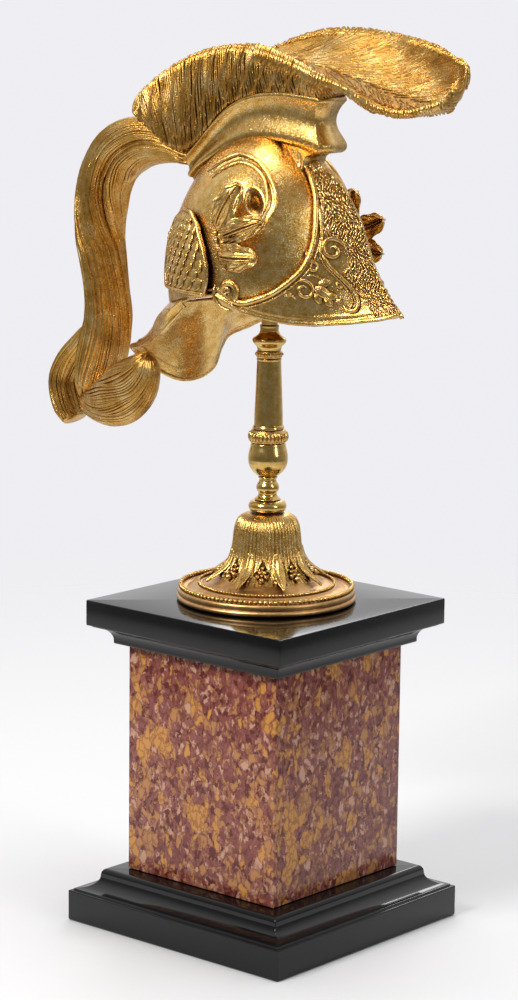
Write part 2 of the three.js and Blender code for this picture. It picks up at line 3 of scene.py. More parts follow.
import bpy
import numpy as np
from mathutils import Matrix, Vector


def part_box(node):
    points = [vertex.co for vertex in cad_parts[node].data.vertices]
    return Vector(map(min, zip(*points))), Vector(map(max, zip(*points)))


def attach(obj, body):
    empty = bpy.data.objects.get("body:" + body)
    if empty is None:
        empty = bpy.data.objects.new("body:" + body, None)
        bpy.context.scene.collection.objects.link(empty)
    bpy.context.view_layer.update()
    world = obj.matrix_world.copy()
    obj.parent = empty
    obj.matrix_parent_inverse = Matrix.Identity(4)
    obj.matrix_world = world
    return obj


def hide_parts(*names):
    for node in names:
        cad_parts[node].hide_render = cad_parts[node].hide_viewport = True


# Gilt bronze model of a plumed antique helmet on a stem and a marble plinth.
# Sizes below are millimetres; they turn to metres where a mesh is made.
# The helmet faces +X and its left is +Y.
mm = 0.001

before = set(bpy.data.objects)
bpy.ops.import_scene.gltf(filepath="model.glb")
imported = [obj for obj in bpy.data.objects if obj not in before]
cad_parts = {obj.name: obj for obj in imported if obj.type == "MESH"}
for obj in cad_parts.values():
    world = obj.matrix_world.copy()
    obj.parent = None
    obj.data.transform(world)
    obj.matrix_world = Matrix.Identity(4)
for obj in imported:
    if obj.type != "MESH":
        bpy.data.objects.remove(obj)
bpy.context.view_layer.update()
print("frame loaded:", len(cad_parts), "nodes")


def boxMm(node):
    low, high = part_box(node)
    return np.array(low) / mm, np.array(high) / mm


# small tools that make meshes from rows of points
def finishMesh(name, points, faces, material, smooth=True, attributes=None):
    mesh = bpy.data.meshes.new(name)
    mesh.from_pydata((np.asarray(points, float) * mm).tolist(), [], faces)
    mesh.materials.append(material)
    mesh.polygons.foreach_set("use_smooth", [smooth] * len(mesh.polygons))
    for key, values in (attributes or {}).items():
        layer = mesh.attributes.new(key, "FLOAT", "POINT")
        layer.data.foreach_set("value", np.asarray(values, np.float32).ravel())
    mesh.update()
    obj = bpy.data.objects.new(name, mesh)
    bpy.context.scene.collection.objects.link(obj)
    return obj


def gridFaces(rows, columns, wrap=True, flip=False, start=0):
    faces = []
    last = columns if wrap else columns - 1
    for r in range(rows - 1):
        for c in range(last):
            a, b = start + r * columns + c, start + r * columns + (c + 1) % columns
            quad = (a, b, b + columns, a + columns)
            faces.append(quad[::-1] if flip else quad)
    return faces


def signedVolume(points, faces):
    p = np.asarray(points, float)
    total = 0.0
    for f in faces:
        for k in range(1, len(f) - 1):
            total += np.dot(p[f[0]], np.cross(p[f[k]], p[f[k + 1]]))
    return total


def facingOut(points, faces):
    return [f[::-1] for f in faces] if signedVolume(points, faces) < 0 else faces


def sheetFaces(rows, columns):
    # closed sheet of two grids of the same size, the second one under the first
    half = rows * columns
    faces = gridFaces(rows, columns, wrap=False) + gridFaces(rows, columns, wrap=False, flip=True, start=half)
    rim = [r * columns for r in range(rows)] + [(rows - 1) * columns + k for k in range(1, columns)]
    rim += [r * columns + columns - 1 for r in range(rows - 2, -1, -1)] + list(range(columns - 2, 0, -1))
    for a, b in zip(rim, rim[1:] + rim[:1]):
        faces.append((a, b, half + b, half + a))
    return faces


def tubeMesh(name, rings, material, attributes=None):
    # closed solid through rings of the same count, with a fan at both ends
    rings = np.asarray(rings, float)
    rows, columns = rings.shape[:2]
    points = list(rings.reshape(-1, 3)) + [rings[0].mean(0), rings[-1].mean(0)]
    faces = gridFaces(rows, columns)
    first, final, end = len(points) - 2, len(points) - 1, (rows - 1) * columns
    for c in range(columns):
        faces.append(((c + 1) % columns, c, first))
        faces.append((end + c, end + (c + 1) % columns, final))
    return finishMesh(name, points, facingOut(points, faces), material, attributes=attributes)


def patternMesh(name, rings):
    # a shape to copy, itself left out of the picture
    piece = tubeMesh(name, rings, fireGilt)
    piece.hide_render = True
    return piece


def alongLine(points, count):
    # smooth line through given points, evenly spaced
    p = np.asarray(points, float)
    p = np.vstack([2 * p[0] - p[1], p, 2 * p[-1] - p[-2]])
    fine = []
    for i in range(1, len(p) - 2):
        t = np.linspace(0, 1, 24, endpoint=False)[:, None]
        a, b, c, d = p[i - 1], p[i], p[i + 1], p[i + 2]
        fine.append(0.5 * (2 * b + (c - a) * t + (2 * a - 5 * b + 4 * c - d) * t ** 2
                           + (3 * b - a - 3 * c + d) * t ** 3))
    fine = np.vstack(fine + [p[-2][None]])
    steps = np.linalg.norm(np.diff(fine[:, :3], axis=0), axis=1)
    walked = np.concatenate([[0], np.cumsum(steps)])
    at = np.linspace(0, walked[-1], count)
    return np.stack([np.interp(at, walked, fine[:, k]) for k in range(p.shape[1])], 1)


def smoothStep(value, low, high):
    t = np.clip((np.asarray(value, float) - low) / (high - low), 0, 1)
    return t * t * (3 - 2 * t)


def unit(v):
    return v / np.maximum(np.linalg.norm(v, axis=-1, keepdims=True), 1e-9)


# node trees for materials and for repeated shapes
def addNode(tree, kind, inputs=None, links=None, **settings):
    # one node with its settings, its fixed inputs and the sockets that feed it
    node = tree.nodes.new(kind)
    for key, value in settings.items():
        setattr(node, key, value)
    for key, value in (inputs or {}).items():
        node.inputs[key].default_value = value
    for key, source in (links or {}).items():
        tree.links.new(source, node.inputs[key])
    return node


def linear(hexColour):
    parts = [int(hexColour[i:i + 2], 16) / 255 for i in (1, 3, 5)]
    return tuple(c / 12.92 if c <= 0.04045 else ((c + 0.055) / 1.055) ** 2.4 for c in parts) + (1.0,)


def colourRamp(tree, source, stops, interpolation="LINEAR"):
    ramp = addNode(tree, "ShaderNodeValToRGB", links={"Fac": source})
    ramp.color_ramp.interpolation = interpolation
    while len(ramp.color_ramp.elements) < len(stops):
        ramp.color_ramp.elements.new(0.5)
    for element, (place, colour) in zip(ramp.color_ramp.elements, stops):
        element.position = place
        element.color = linear(colour)
    return ramp.outputs["Color"]


def newMaterial(name):
    material = bpy.data.materials.new(name)
    material.use_nodes = True
    tree = material.node_tree
    shader = tree.nodes["Principled BSDF"]
    place = addNode(tree, "ShaderNodeTexCoord").outputs["Object"]
    return material, tree, shader, place


def giltMaterial(name, look):
    # Mercury gilding on cast bronze: a warm yellow metal with a soft satin sheen, its tone wandering at random
    # between deeper and paler gold. Painted shade: an orange-brown colour is mixed in where ambient occlusion finds
    # hollows and close parts, and where the mesh marks spots to be painted dark.
    material, tree, shader, place = newMaterial(name)
    shader.inputs["Metallic"].default_value = 1.0
    cloud = addNode(tree, "ShaderNodeTexNoise", {"Scale": 1 / (look["cloudSize"] * mm), "Detail": 6.0,
                                                 "Roughness": 0.7}, {"Vector": place})
    skin = colourRamp(tree, cloud.outputs["Fac"], [(0.32, look["deep"]), (0.5, look["gold"]),
                                                   (0.68, look["pale"])])
    # painted shade: ambient occlusion darkens the colour towards the dark shade colour in hollows and between parts
    hollow = addNode(tree, "ShaderNodeAmbientOcclusion", {"Distance": look["hollowReach"] * mm}, samples=6)
    shade = addNode(tree, "ShaderNodeMapRange", {"From Min": look["hollowDark"], "From Max": look["hollowLight"]},
                    {"Value": hollow.outputs["AO"]})
    shade.interpolation_type = "SMOOTHSTEP"
    # painted shade: a mesh attribute marks spots painted dark as shade, such as the pit behind the upper leaf
    paintedShadeRecess = addNode(tree, "ShaderNodeAttribute", attribute_name="paintedShadeRecess")
    outsidePaintedRecess = addNode(tree, "ShaderNodeMath", {0: 1.0}, {1: paintedShadeRecess.outputs["Fac"]}, operation="SUBTRACT")
    light = addNode(tree, "ShaderNodeMath", None, {0: shade.outputs["Result"], 1: outsidePaintedRecess.outputs[0]},
                    operation="MULTIPLY")
    mix = addNode(tree, "ShaderNodeMix", {6: linear(look["hollow"])}, {0: light.outputs[0], 7: skin},
                  data_type="RGBA")
    tree.links.new(mix.outputs[2], shader.inputs["Base Color"])
    satin = addNode(tree, "ShaderNodeTexNoise", {"Scale": 1 / (look["satinSize"] * mm), "Detail": 3.0},
                    {"Vector": place})
    rough = addNode(tree, "ShaderNodeMapRange", {"To Min": look["roughLow"], "To Max": look["roughHigh"]},
                    {"Value": satin.outputs["Fac"]})
    tree.links.new(rough.outputs["Result"], shader.inputs["Roughness"])
    grain = addNode(tree, "ShaderNodeTexNoise", {"Scale": 1 / (look["grainSize"] * mm), "Detail": 6.0,
                                                 "Roughness": 0.75}, {"Vector": place})
    bump = addNode(tree, "ShaderNodeBump", {"Strength": look["grainStrength"],
                                            "Distance": look["grainHeight"] * mm},
                   {"Height": grain.outputs["Fac"]})
    tree.links.new(bump.outputs["Normal"], shader.inputs["Normal"])
    return material


# the dark orange-brown colour and the ambient occlusion reach and limits below set the painted shade in hollows
giltLook = {
    "gold": "#DDB266", "deep": "#C8963F", "pale": "#EBCF92", "hollow": "#7A4A12",
    "cloudSize": 3.0, "hollowReach": 6.0, "hollowDark": 0.12, "hollowLight": 0.85,
    "satinSize": 1.2, "roughLow": 0.14, "roughHigh": 0.36,
    "grainSize": 1.4, "grainStrength": 0.85, "grainHeight": 0.2,
}
hairLook = dict(giltLook, gold="#CFA052", deep="#B27F34", pale="#E2C284", hollow="#7A4E14",
                hollowReach=1.6, hollowDark=0.0, hollowLight=0.5, roughLow=0.2, roughHigh=0.38,
                cloudSize=9.0, grainSize=1.1, grainStrength=0.6, grainHeight=0.22)
fleeceFinish = dict(giltLook, gold="#E3BC78", deep="#D0A052", pale="#F0D8A2", hollowReach=1.5, hollowDark=0.0,
                    hollowLight=0.55, roughLow=0.14, roughHigh=0.3)
burnishedLook = dict(giltLook, gold="#D6AF62", deep="#C9A050", pale="#E2C484", hollow="#6E4413",
                     hollowReach=6.0, hollowDark=0.1, hollowLight=0.7, roughLow=0.14, roughHigh=0.24,
                     grainStrength=0.12, grainHeight=0.06)
stippledLook = dict(giltLook, gold="#CDA067", deep="#BC8F57", pale="#DDB685", roughLow=0.28, roughHigh=0.44,
                    hollowReach=3.0, grainSize=0.7, grainHeight=0.09)

fireGilt = giltMaterial("chasedFireGiltBronze", giltLook)
hairGilt = giltMaterial("chasedGiltHair", hairLook)
fleeceGilt = giltMaterial("chasedGiltFleece", fleeceFinish)
burnishedGilt = giltMaterial("burnishedGiltBronze", burnishedLook)
stippledGilt = giltMaterial("stippledGiltBronze", stippledLook)


marbleLook = {
    "ground": "#82483F", "mauve": "#8E5853", "wine": "#5A2620", "ochre": "#BE8442", "honey": "#AC7648",
    "blush": "#BC8E76", "clast": 7.5, "chip": 3.4, "fleck": 1.7, "roughness": 0.16, "upright": 0.72,
    "bendSize": 6.0, "bendReach": 9.0, "cloudSize": 3.5, "regionSize": 24.0, "seamWidth": 0.14, "seamFade": 0.35,
}


def brecciaMaterial(look):
    # Breccia marble, sawn and polished: ragged ochre and blush chips of every size in a plum-brown
    # ground, under a clear wax gloss.
    material, tree, shader, place = newMaterial("polishedBrecciaMarble")
    tall = addNode(tree, "ShaderNodeVectorMath", {1: (1.0, 1.0, look["upright"])}, {0: place}, operation="MULTIPLY")
    place = tall.outputs[0]
    warp = addNode(tree, "ShaderNodeTexNoise", {"Scale": 1 / (look["bendSize"] * mm), "Detail": 6.0,
                                                "Roughness": 0.7}, {"Vector": place})
    push = addNode(tree, "ShaderNodeVectorMath", {1: (0.5, 0.5, 0.5)}, {0: warp.outputs["Color"]},
                   operation="SUBTRACT")
    reach = addNode(tree, "ShaderNodeVectorMath", {"Scale": look["bendReach"] * mm}, {0: push.outputs[0]},
                    operation="SCALE")
    bent = addNode(tree, "ShaderNodeVectorMath", None, {0: place, 1: reach.outputs[0]}, operation="ADD")

    def chips(size, channel, stops):
        cells = addNode(tree, "ShaderNodeTexVoronoi", {"Scale": 1 / (size * mm)}, {"Vector": bent.outputs[0]})
        pick = addNode(tree, "ShaderNodeSeparateColor", None, {"Color": cells.outputs["Color"]})
        return colourRamp(tree, pick.outputs[channel], stops, "CONSTANT"), pick.outputs["Blue"]

    def over(base, layer, chance, share):
        # the layer's chips show where their own random number is above the share
        seen = addNode(tree, "ShaderNodeMapRange", {"From Min": share, "From Max": share + 0.02},
                       {"Value": chance})
        return addNode(tree, "ShaderNodeMix", None, {0: seen.outputs["Result"], 6: base, 7: layer},
                       data_type="RGBA").outputs[2]

    cloud = addNode(tree, "ShaderNodeTexNoise", {"Scale": 1 / (look["cloudSize"] * mm), "Detail": 8.0,
                                                 "Roughness": 0.8}, {"Vector": bent.outputs[0]})
    stone = colourRamp(tree, cloud.outputs["Fac"], [(0.36, look["wine"]), (0.48, look["ground"]),
                                                    (0.6, look["mauve"]), (0.72, look["blush"])])
    layers = ((look["fleck"], "Red", 0.60, 0.3, [(0.0, look["honey"]), (0.4, look["blush"]), (0.6, look["wine"])]),
              (look["chip"], "Green", 0.78, 0.9, [(0.0, look["honey"]), (0.45, look["ochre"]), (0.8, look["blush"])]),
              (look["clast"], "Red", 0.92, 1.4, [(0.0, look["ochre"]), (0.8, look["honey"])]))
    # the larger chips gather in some parts of the block and leave others plain
    region = addNode(tree, "ShaderNodeTexNoise", {"Scale": 1 / (look["regionSize"] * mm), "Detail": 2.0},
                     {"Vector": place})
    lean = addNode(tree, "ShaderNodeMath", {1: 0.5}, {0: region.outputs["Fac"]}, operation="SUBTRACT")
    for size, channel, share, gather, stops in layers:
        colour, chance = chips(size, channel, stops)
        more = addNode(tree, "ShaderNodeMath", {1: gather}, {0: lean.outputs[0], 2: chance}, operation="MULTIPLY_ADD")
        stone = over(stone, colour, more.outputs[0], share)
    # thin dark seams round the smaller chips
    edge = addNode(tree, "ShaderNodeTexVoronoi", {"Scale": 1 / (look["chip"] * mm)}, {"Vector": bent.outputs[0]},
                   feature="DISTANCE_TO_EDGE")
    seam = addNode(tree, "ShaderNodeMapRange", {"From Max": look["seamWidth"], "To Min": look["seamFade"]},
                   {"Value": edge.outputs["Distance"]})
    stone = addNode(tree, "ShaderNodeMix", {6: linear(look["wine"])}, {0: seam.outputs["Result"], 7: stone},
                    data_type="RGBA").outputs[2]
    tree.links.new(stone, shader.inputs["Base Color"])
    shader.inputs["Roughness"].default_value = look["roughness"]
    shader.inputs["Specular IOR Level"].default_value = 0.35
    return material


blackLook = {"cloudSize": 12.0, "roughness": 0.12, "gloss": 0.4,
             "tones": [(0.35, "#050505"), (0.6, "#0B0B0A"), (0.8, "#171613")]}


def blackMarbleMaterial(look):
    # Polished black marble: near black with faint grey clouds and a deep mirror-like gloss.
    material, tree, shader, place = newMaterial("polishedBlackMarble")
    cloud = addNode(tree, "ShaderNodeTexNoise", {"Scale": 1 / (look["cloudSize"] * mm), "Detail": 8.0,
                                                 "Roughness": 0.7}, {"Vector": place})
    tree.links.new(colourRamp(tree, cloud.outputs["Fac"], look["tones"]), shader.inputs["Base Color"])
    shader.inputs["Roughness"].default_value = look["roughness"]
    shader.inputs["Specular IOR Level"].default_value = look["gloss"]
    return material


brecciaMarble = brecciaMaterial(marbleLook)
blackMarble = blackMarbleMaterial(blackLook)
print("finishes ready")


def newTree(name, sockets):
    tree = bpy.data.node_groups.new(name, "GeometryNodeTree")
    tree.interface.new_socket("Geometry", in_out="INPUT", socket_type="NodeSocketGeometry")
    for label, kind, value in sockets:
        socket = tree.interface.new_socket(label, in_out="INPUT", socket_type=kind)
        if value is not None:
            socket.default_value = value
    tree.interface.new_socket("Geometry", in_out="OUTPUT", socket_type="NodeSocketGeometry")
    return tree, addNode(tree, "NodeGroupInput")


def closeTree(tree, geometry, material):
    smooth = addNode(tree, "GeometryNodeSetShadeSmooth", None, {"Geometry": geometry})
    real = addNode(tree, "GeometryNodeRealizeInstances", None, {"Geometry": smooth.outputs[0]})
    painted = addNode(tree, "GeometryNodeSetMaterial", None, {"Geometry": real.outputs[0], "Material": material})
    out = addNode(tree, "NodeGroupOutput")
    tree.links.new(painted.outputs[0], out.inputs[0])


def randomShare(tree, given, label):
    # a random number between one less and one more than the labelled variation
    least = addNode(tree, "ShaderNodeMath", {0: 1.0}, {1: given.outputs[label]}, operation="SUBTRACT")
    most = addNode(tree, "ShaderNodeMath", {0: 1.0}, {1: given.outputs[label]}, operation="ADD")
    return addNode(tree, "FunctionNodeRandomValue", None,
                   {2: least.outputs[0], 3: most.outputs[0], "Seed": given.outputs["Seed"]}, data_type="FLOAT")


def strandTree():
    # a round wire along every line of the mesh, as thick as its "width" attribute says
    tree, given = newTree("wiresAlongLines", [
        ("Wire Radius", "NodeSocketFloat", 0.0006), ("Radius Variation", "NodeSocketFloat", 0.2),
        ("Sides", "NodeSocketInt", 6), ("Seed", "NodeSocketInt", 1), ("Material", "NodeSocketMaterial", None)])
    curve = addNode(tree, "GeometryNodeMeshToCurve", None, {"Mesh": given.outputs["Geometry"]})
    number = addNode(tree, "GeometryNodeInputNamedAttribute", {"Name": "line"}, data_type="INT")
    width = addNode(tree, "GeometryNodeInputNamedAttribute", {"Name": "width"}, data_type="FLOAT")
    chance = randomShare(tree, given, "Radius Variation")
    tree.links.new(number.outputs[0], chance.inputs["ID"])
    thick = addNode(tree, "ShaderNodeMath", None, {0: width.outputs[0], 1: chance.outputs[1]}, operation="MULTIPLY")
    scale = addNode(tree, "ShaderNodeMath", None, {0: thick.outputs[0], 1: given.outputs["Wire Radius"]},
                    operation="MULTIPLY")
    ring = addNode(tree, "GeometryNodeCurvePrimitiveCircle", {"Radius": 1.0}, {"Resolution": given.outputs["Sides"]})
    wire = addNode(tree, "GeometryNodeCurveToMesh", {"Fill Caps": True},
                   {"Curve": curve.outputs[0], "Profile Curve": ring.outputs[0], "Scale": scale.outputs[0]})
    closeTree(tree, wire.outputs[0], given.outputs["Material"])
    return tree


def ornamentTree():
    # a copy of the ornament on every point, standing along "outward" and pointing along "forward"
    tree, given = newTree("ornamentsOnPoints", [
        ("Ornament", "NodeSocketObject", None), ("Size", "NodeSocketFloat", 1.0),
        ("Size Variation", "NodeSocketFloat", 0.1), ("Seed", "NodeSocketInt", 1),
        ("Material", "NodeSocketMaterial", None)])
    points = addNode(tree, "GeometryNodeMeshToPoints", None, {"Mesh": given.outputs["Geometry"]})
    outward = addNode(tree, "GeometryNodeInputNamedAttribute", {"Name": "outward"}, data_type="FLOAT_VECTOR")
    forward = addNode(tree, "GeometryNodeInputNamedAttribute", {"Name": "forward"}, data_type="FLOAT_VECTOR")
    size = addNode(tree, "GeometryNodeInputNamedAttribute", {"Name": "size"}, data_type="FLOAT")
    turn = addNode(tree, "FunctionNodeAxesToRotation", None,
                   {"Primary Axis": outward.outputs[0], "Secondary Axis": forward.outputs[0]},
                   primary_axis="Z", secondary_axis="X")
    chance = randomShare(tree, given, "Size Variation")
    share = addNode(tree, "ShaderNodeMath", None, {0: size.outputs[0], 1: chance.outputs[1]}, operation="MULTIPLY")
    scale = addNode(tree, "ShaderNodeMath", None, {0: share.outputs[0], 1: given.outputs["Size"]},
                    operation="MULTIPLY")
    shape = addNode(tree, "GeometryNodeObjectInfo", None, {"Object": given.outputs["Ornament"]})
    placed = addNode(tree, "GeometryNodeInstanceOnPoints", None,
                     {"Points": points.outputs[0], "Instance": shape.outputs["Geometry"],
                      "Rotation": turn.outputs[0], "Scale": scale.outputs[0]})
    closeTree(tree, placed.outputs[0], given.outputs["Material"])
    return tree


wires = strandTree()
ornaments = ornamentTree()


def grow(name, mesh, tree, values):
    # runs a node tree on a mesh and keeps the result as a plain mesh
    seed = bpy.data.objects.new(name + "Guide", mesh)
    bpy.context.scene.collection.objects.link(seed)
    modifier = seed.modifiers.new("nodes", "NODES")
    modifier.node_group = tree
    for item in tree.interface.items_tree:
        if item.item_type == "SOCKET" and item.in_out == "INPUT" and item.name in values:
            modifier[item.identifier] = values[item.name]
    seed.update_tag()
    bpy.context.view_layer.update()
    graph = bpy.context.evaluated_depsgraph_get()
    made = bpy.data.meshes.new_from_object(seed.evaluated_get(graph))
    made.name = name
    seed.modifiers.remove(modifier)
    bpy.data.objects.remove(seed)
    obj = bpy.data.objects.new(name, made)
    bpy.context.scene.collection.objects.link(obj)
    return obj


def wiresAlong(name, lines, widths, radius, material, variation=0.15, sides=6, seed=1):
    # lines: arrays of points; widths: share of the radius at each point, or one for all
    points, edges, number, width = [], [], [], []
    for k, line in enumerate(lines):
        start = len(points)
        points.extend(line)
        edges.extend((start + i, start + i + 1) for i in range(len(line) - 1))
        number.extend([k] * len(line))
        share = widths[k] if isinstance(widths, list) else widths
        width.extend(np.broadcast_to(share, len(line)))
    mesh = bpy.data.meshes.new(name + "Lines")
    mesh.from_pydata((np.asarray(points) * mm).tolist(), edges, [])
    mesh.attributes.new("line", "INT", "POINT").data.foreach_set("value", np.array(number, np.int32))
    mesh.attributes.new("width", "FLOAT", "POINT").data.foreach_set("value", np.array(width, np.float32))
    return grow(name, mesh, wires, {"Wire Radius": radius * mm, "Radius Variation": variation,
                                    "Sides": sides, "Seed": seed, "Material": material})


def ornamentsAt(name, points, outward, forward, size, pattern, material, variation=0.1, seed=1):
    mesh = bpy.data.meshes.new(name + "Points")
    mesh.from_pydata((np.asarray(points) * mm).tolist(), [], [])
    for key, vectors in (("outward", outward), ("forward", forward)):
        mesh.attributes.new(key, "FLOAT_VECTOR", "POINT").data.foreach_set(
            "vector", np.asarray(vectors, np.float32).ravel())
    mesh.attributes.new("size", "FLOAT", "POINT").data.foreach_set("value", np.asarray(size, np.float32))
    return grow(name, mesh, ornaments, {"Ornament": pattern, "Size": 1.0, "Size Variation": variation,
                                        "Seed": seed, "Material": material})


def joinPieces(name, pieces):
    # several plain meshes become one piece
    points, faces, material = [], [], pieces[0].data.materials[0]
    for piece in pieces:
        start = len(points)
        points.extend(v.co / mm for v in piece.data.vertices)
        faces.extend(tuple(start + i for i in p.vertices) for p in piece.data.polygons)
        bpy.data.objects.remove(piece)
    return finishMesh(name, points, faces, material)


def settle(piece, slot, *nodes):
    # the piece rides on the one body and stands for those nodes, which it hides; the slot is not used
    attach(piece, "root")
    if nodes:
        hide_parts(*nodes)


# the plinth: two black marble slabs with hollow mouldings and a breccia block
def squareTurn(name, profile, material, rounding=0.5):
    # a square block with slightly rounded arrises; the profile holds half widths and heights
    corner = np.radians(np.linspace(0, 90, 5))
    rings = []
    for half, z in profile:
        r = min(rounding, half * 0.9)
        ring = []
        for quarter in range(4):
            turn = math.radians(90 * quarter)
            x = half - r + r * np.cos(corner)
            y = half - r + r * np.sin(corner)
            ring.append(np.stack([x * math.cos(turn) - y * math.sin(turn),
                                  x * math.sin(turn) + y * math.cos(turn), np.full(5, z)], 1))
        rings.append(np.vstack(ring))
    return tubeMesh(name, rings, material)


def softened(profile, radius=0.4):
    # the same profile with every corner cut back and rounded by a small arc
    p = [np.array(q, float) for q in profile]
    p = [p[0]] + [b for a, b in zip(p, p[1:]) if np.linalg.norm(b - a) > 1e-6]
    out = [p[0]]
    for a, b, c in zip(p, p[1:], p[2:]):
        before, after = np.linalg.norm(a - b), np.linalg.norm(c - b)
        r = min(radius, 0.45 * before, 0.45 * after)
        start, end = b + (a - b) / before * r, b + (c - b) / after * r
        for t in np.linspace(0, 1, 4):
            out.append((1 - t) ** 2 * start + 2 * t * (1 - t) * b + t * t * end)
    return out + [p[-1]]


def coveSteps(half0, z0, half1, z1, steps=12):
    turn = np.linspace(0, np.pi / 2, steps + 1)
    return [(half0 + (half1 - half0) * np.sin(a), z1 + (z0 - z1) * np.cos(a)) for a in turn]


plinthLook = {"arris": 0.5, "slabHeight": 14.0, "step": 1.6, "lip": 1.6, "baseNeck": 8.9, "fillet": 0.8,
              "capHeight": 11.5, "capStep": 1.8, "capNeck": 8.6}


def makePlinth(look):
    low, high = boxMm("plinth_base")
    half, bottom, top = high[0], low[2], high[2]
    dieLow, dieHigh = boxMm("plinth_die")
    capLow, capHigh = boxMm("plinth_cap")
    neck = dieHigh[0] + look["baseNeck"]
    base = [(half - 0.6, bottom), (half, bottom + 0.6), (half, bottom + look["slabHeight"]),
            (half - look["step"], bottom + look["slabHeight"])]
    base += coveSteps(half - look["step"], bottom + look["slabHeight"] + look["fillet"], neck,
                      top - 2 * look["lip"])
    base += [(neck - 0.2, top - look["lip"]), (neck - 1.0, top - 0.4), (neck - 1.8, top), (neck * 0.5, top)]
    piece = squareTurn("plinthBase", softened(base, 0.5), blackMarble, look["arris"])
    settle(piece, "black_marble", "plinth_base")
    die = [(dieHigh[0] * 0.5, dieLow[2]), (dieHigh[0], dieLow[2]), (dieHigh[0], dieHigh[2]),
           (dieHigh[0] * 0.5, dieHigh[2])]
    piece = squareTurn("plinthDie", softened(die, 0.3), brecciaMarble, 0.4)
    settle(piece, "breccia_marble", "plinth_die")
    capHalf, capBottom, capTop = capHigh[0], capLow[2], capHigh[2]
    slab = capTop - look["capHeight"]
    capNeck = capHalf - look["capNeck"]
    cap = [(capNeck * 0.5, capBottom), (capNeck, capBottom), (capNeck, capBottom + look["lip"])]
    cap += coveSteps(capHalf - look["capStep"], slab - look["fillet"], capNeck, capBottom + look["lip"])[::-1]
    cap += [(capHalf - look["capStep"], slab), (capHalf, slab), (capHalf, capTop), (capHalf * 0.5, capTop)]
    piece = squareTurn("plinthCap", softened(cap, 0.5), blackMarble, look["arris"])
    settle(piece, "black_marble", "plinth_cap")


makePlinth(plinthLook)
print("plinth done")


# the gilt foot and the turned stem
def turnedMesh(name, z, profile, material, sides=96, corner=0.35):
    # a piece turned on the lathe: radii and heights above z
    profile = softened(profile, corner)
    turn = np.linspace(0, 2 * np.pi, sides, endpoint=False)
    rings = [np.stack([max(r, 0.01) * np.cos(turn), max(r, 0.01) * np.sin(turn), np.full(sides, z + h)], 1)
             for r, h in profile]
    return tubeMesh(name, rings, material)


stemProfiles = {  # node: radii and heights above the node's own foot
    "stem_torus": [(0, 0), (7, 0), (7.8, 0.5), (8.3, 1.4), (8.45, 2.4), (8.3, 3.3), (7.7, 4.3), (6.6, 4.9),
                   (0, 4.9)],
    "stem_knop": [(0, 0), (5.9, 0), (5.6, 0.5), (4.5, 1.3), (4.05, 2.2), (4.1, 3), (4.75, 3.9), (5.05, 5),
                  (4.95, 6.2), (4.4, 7.4), (3.8, 8.2), (3.75, 9.2), (4.3, 9.7), (4.3, 10.3), (0, 10.3)],
    "stem_vase": [(0, 0), (4.4, 0), (5.2, 0.5), (6.6, 1.7), (7.9, 3.6), (8.55, 5.4), (8.8, 7.4), (8.7, 9.4),
                  (8.3, 11.4), (7.8, 13.2), (7.6, 14.7), (0, 14.7)],
    "stem_shaft": [(0, 0), (7, 0), (6.95, 0.8), (6.6, 1.4), (6.35, 1.6), (6.3, 6), (5.8, 18), (5.35, 29),
                   (5.3, 30.2), (5.5, 30.5), (5.5, 31.1), (0, 31.1)],
    "stem_socket": [(0, 0), (5.2, 0), (5.3, 0.8), (5.6, 1.6), (6.6, 2.6), (7.3, 3.6), (7.45, 4.4), (7.4, 5.1),
                    (6.6, 5.5), (5.4, 6.4), (4.5, 7.4), (4.05, 8.6), (4.1, 10), (4.3, 11), (0, 11)],
}


def makeStem(profiles):
    for node, profile in profiles.items():
        low = boxMm(node)[0]
        words = node.split("_")
        piece = turnedMesh(words[0] + words[1].capitalize(), low[2], profile, burnishedGilt)
        settle(piece, "burnished_gilt", node)


makeStem(stemProfiles)


def ringOfPoints(radius, z, count, phase=0.0):
    turn = np.linspace(0, 2 * np.pi, count, endpoint=False) + phase
    away = np.stack([np.cos(turn), np.sin(turn), np.zeros(count)], 1)
    return away * radius + np.array([0, 0, z]), away


def beadPattern(name, stretch=(1, 1, 1), sides=10, rings=6):
    # a small ball one millimetre in radius, stretched along its axes
    height = np.linspace(-math.pi / 2 + 0.2, math.pi / 2 - 0.2, rings)
    turn = np.linspace(0, 2 * np.pi, sides, endpoint=False)
    shape = [np.stack([np.cos(h) * np.cos(turn), np.cos(h) * np.sin(turn), np.full(sides, np.sin(h))], 1)
             * np.array(stretch) for h in height]
    return patternMesh(name, shape)


beadRingLook = {"outerRadius": 38.0, "outerBead": 1.08, "outerCount": 108, "innerRadius": 30.0,
                "innerBead": 0.74, "innerCount": 124, "outerHeight": 6.4, "innerHeight": 7.7,
                "neckBead": 0.62, "neckCount": 34, "neckRadius": 5.75,
                "gadroonRadius": 7.75, "gadroonHeight": 2.5, "gadroonCount": 30}


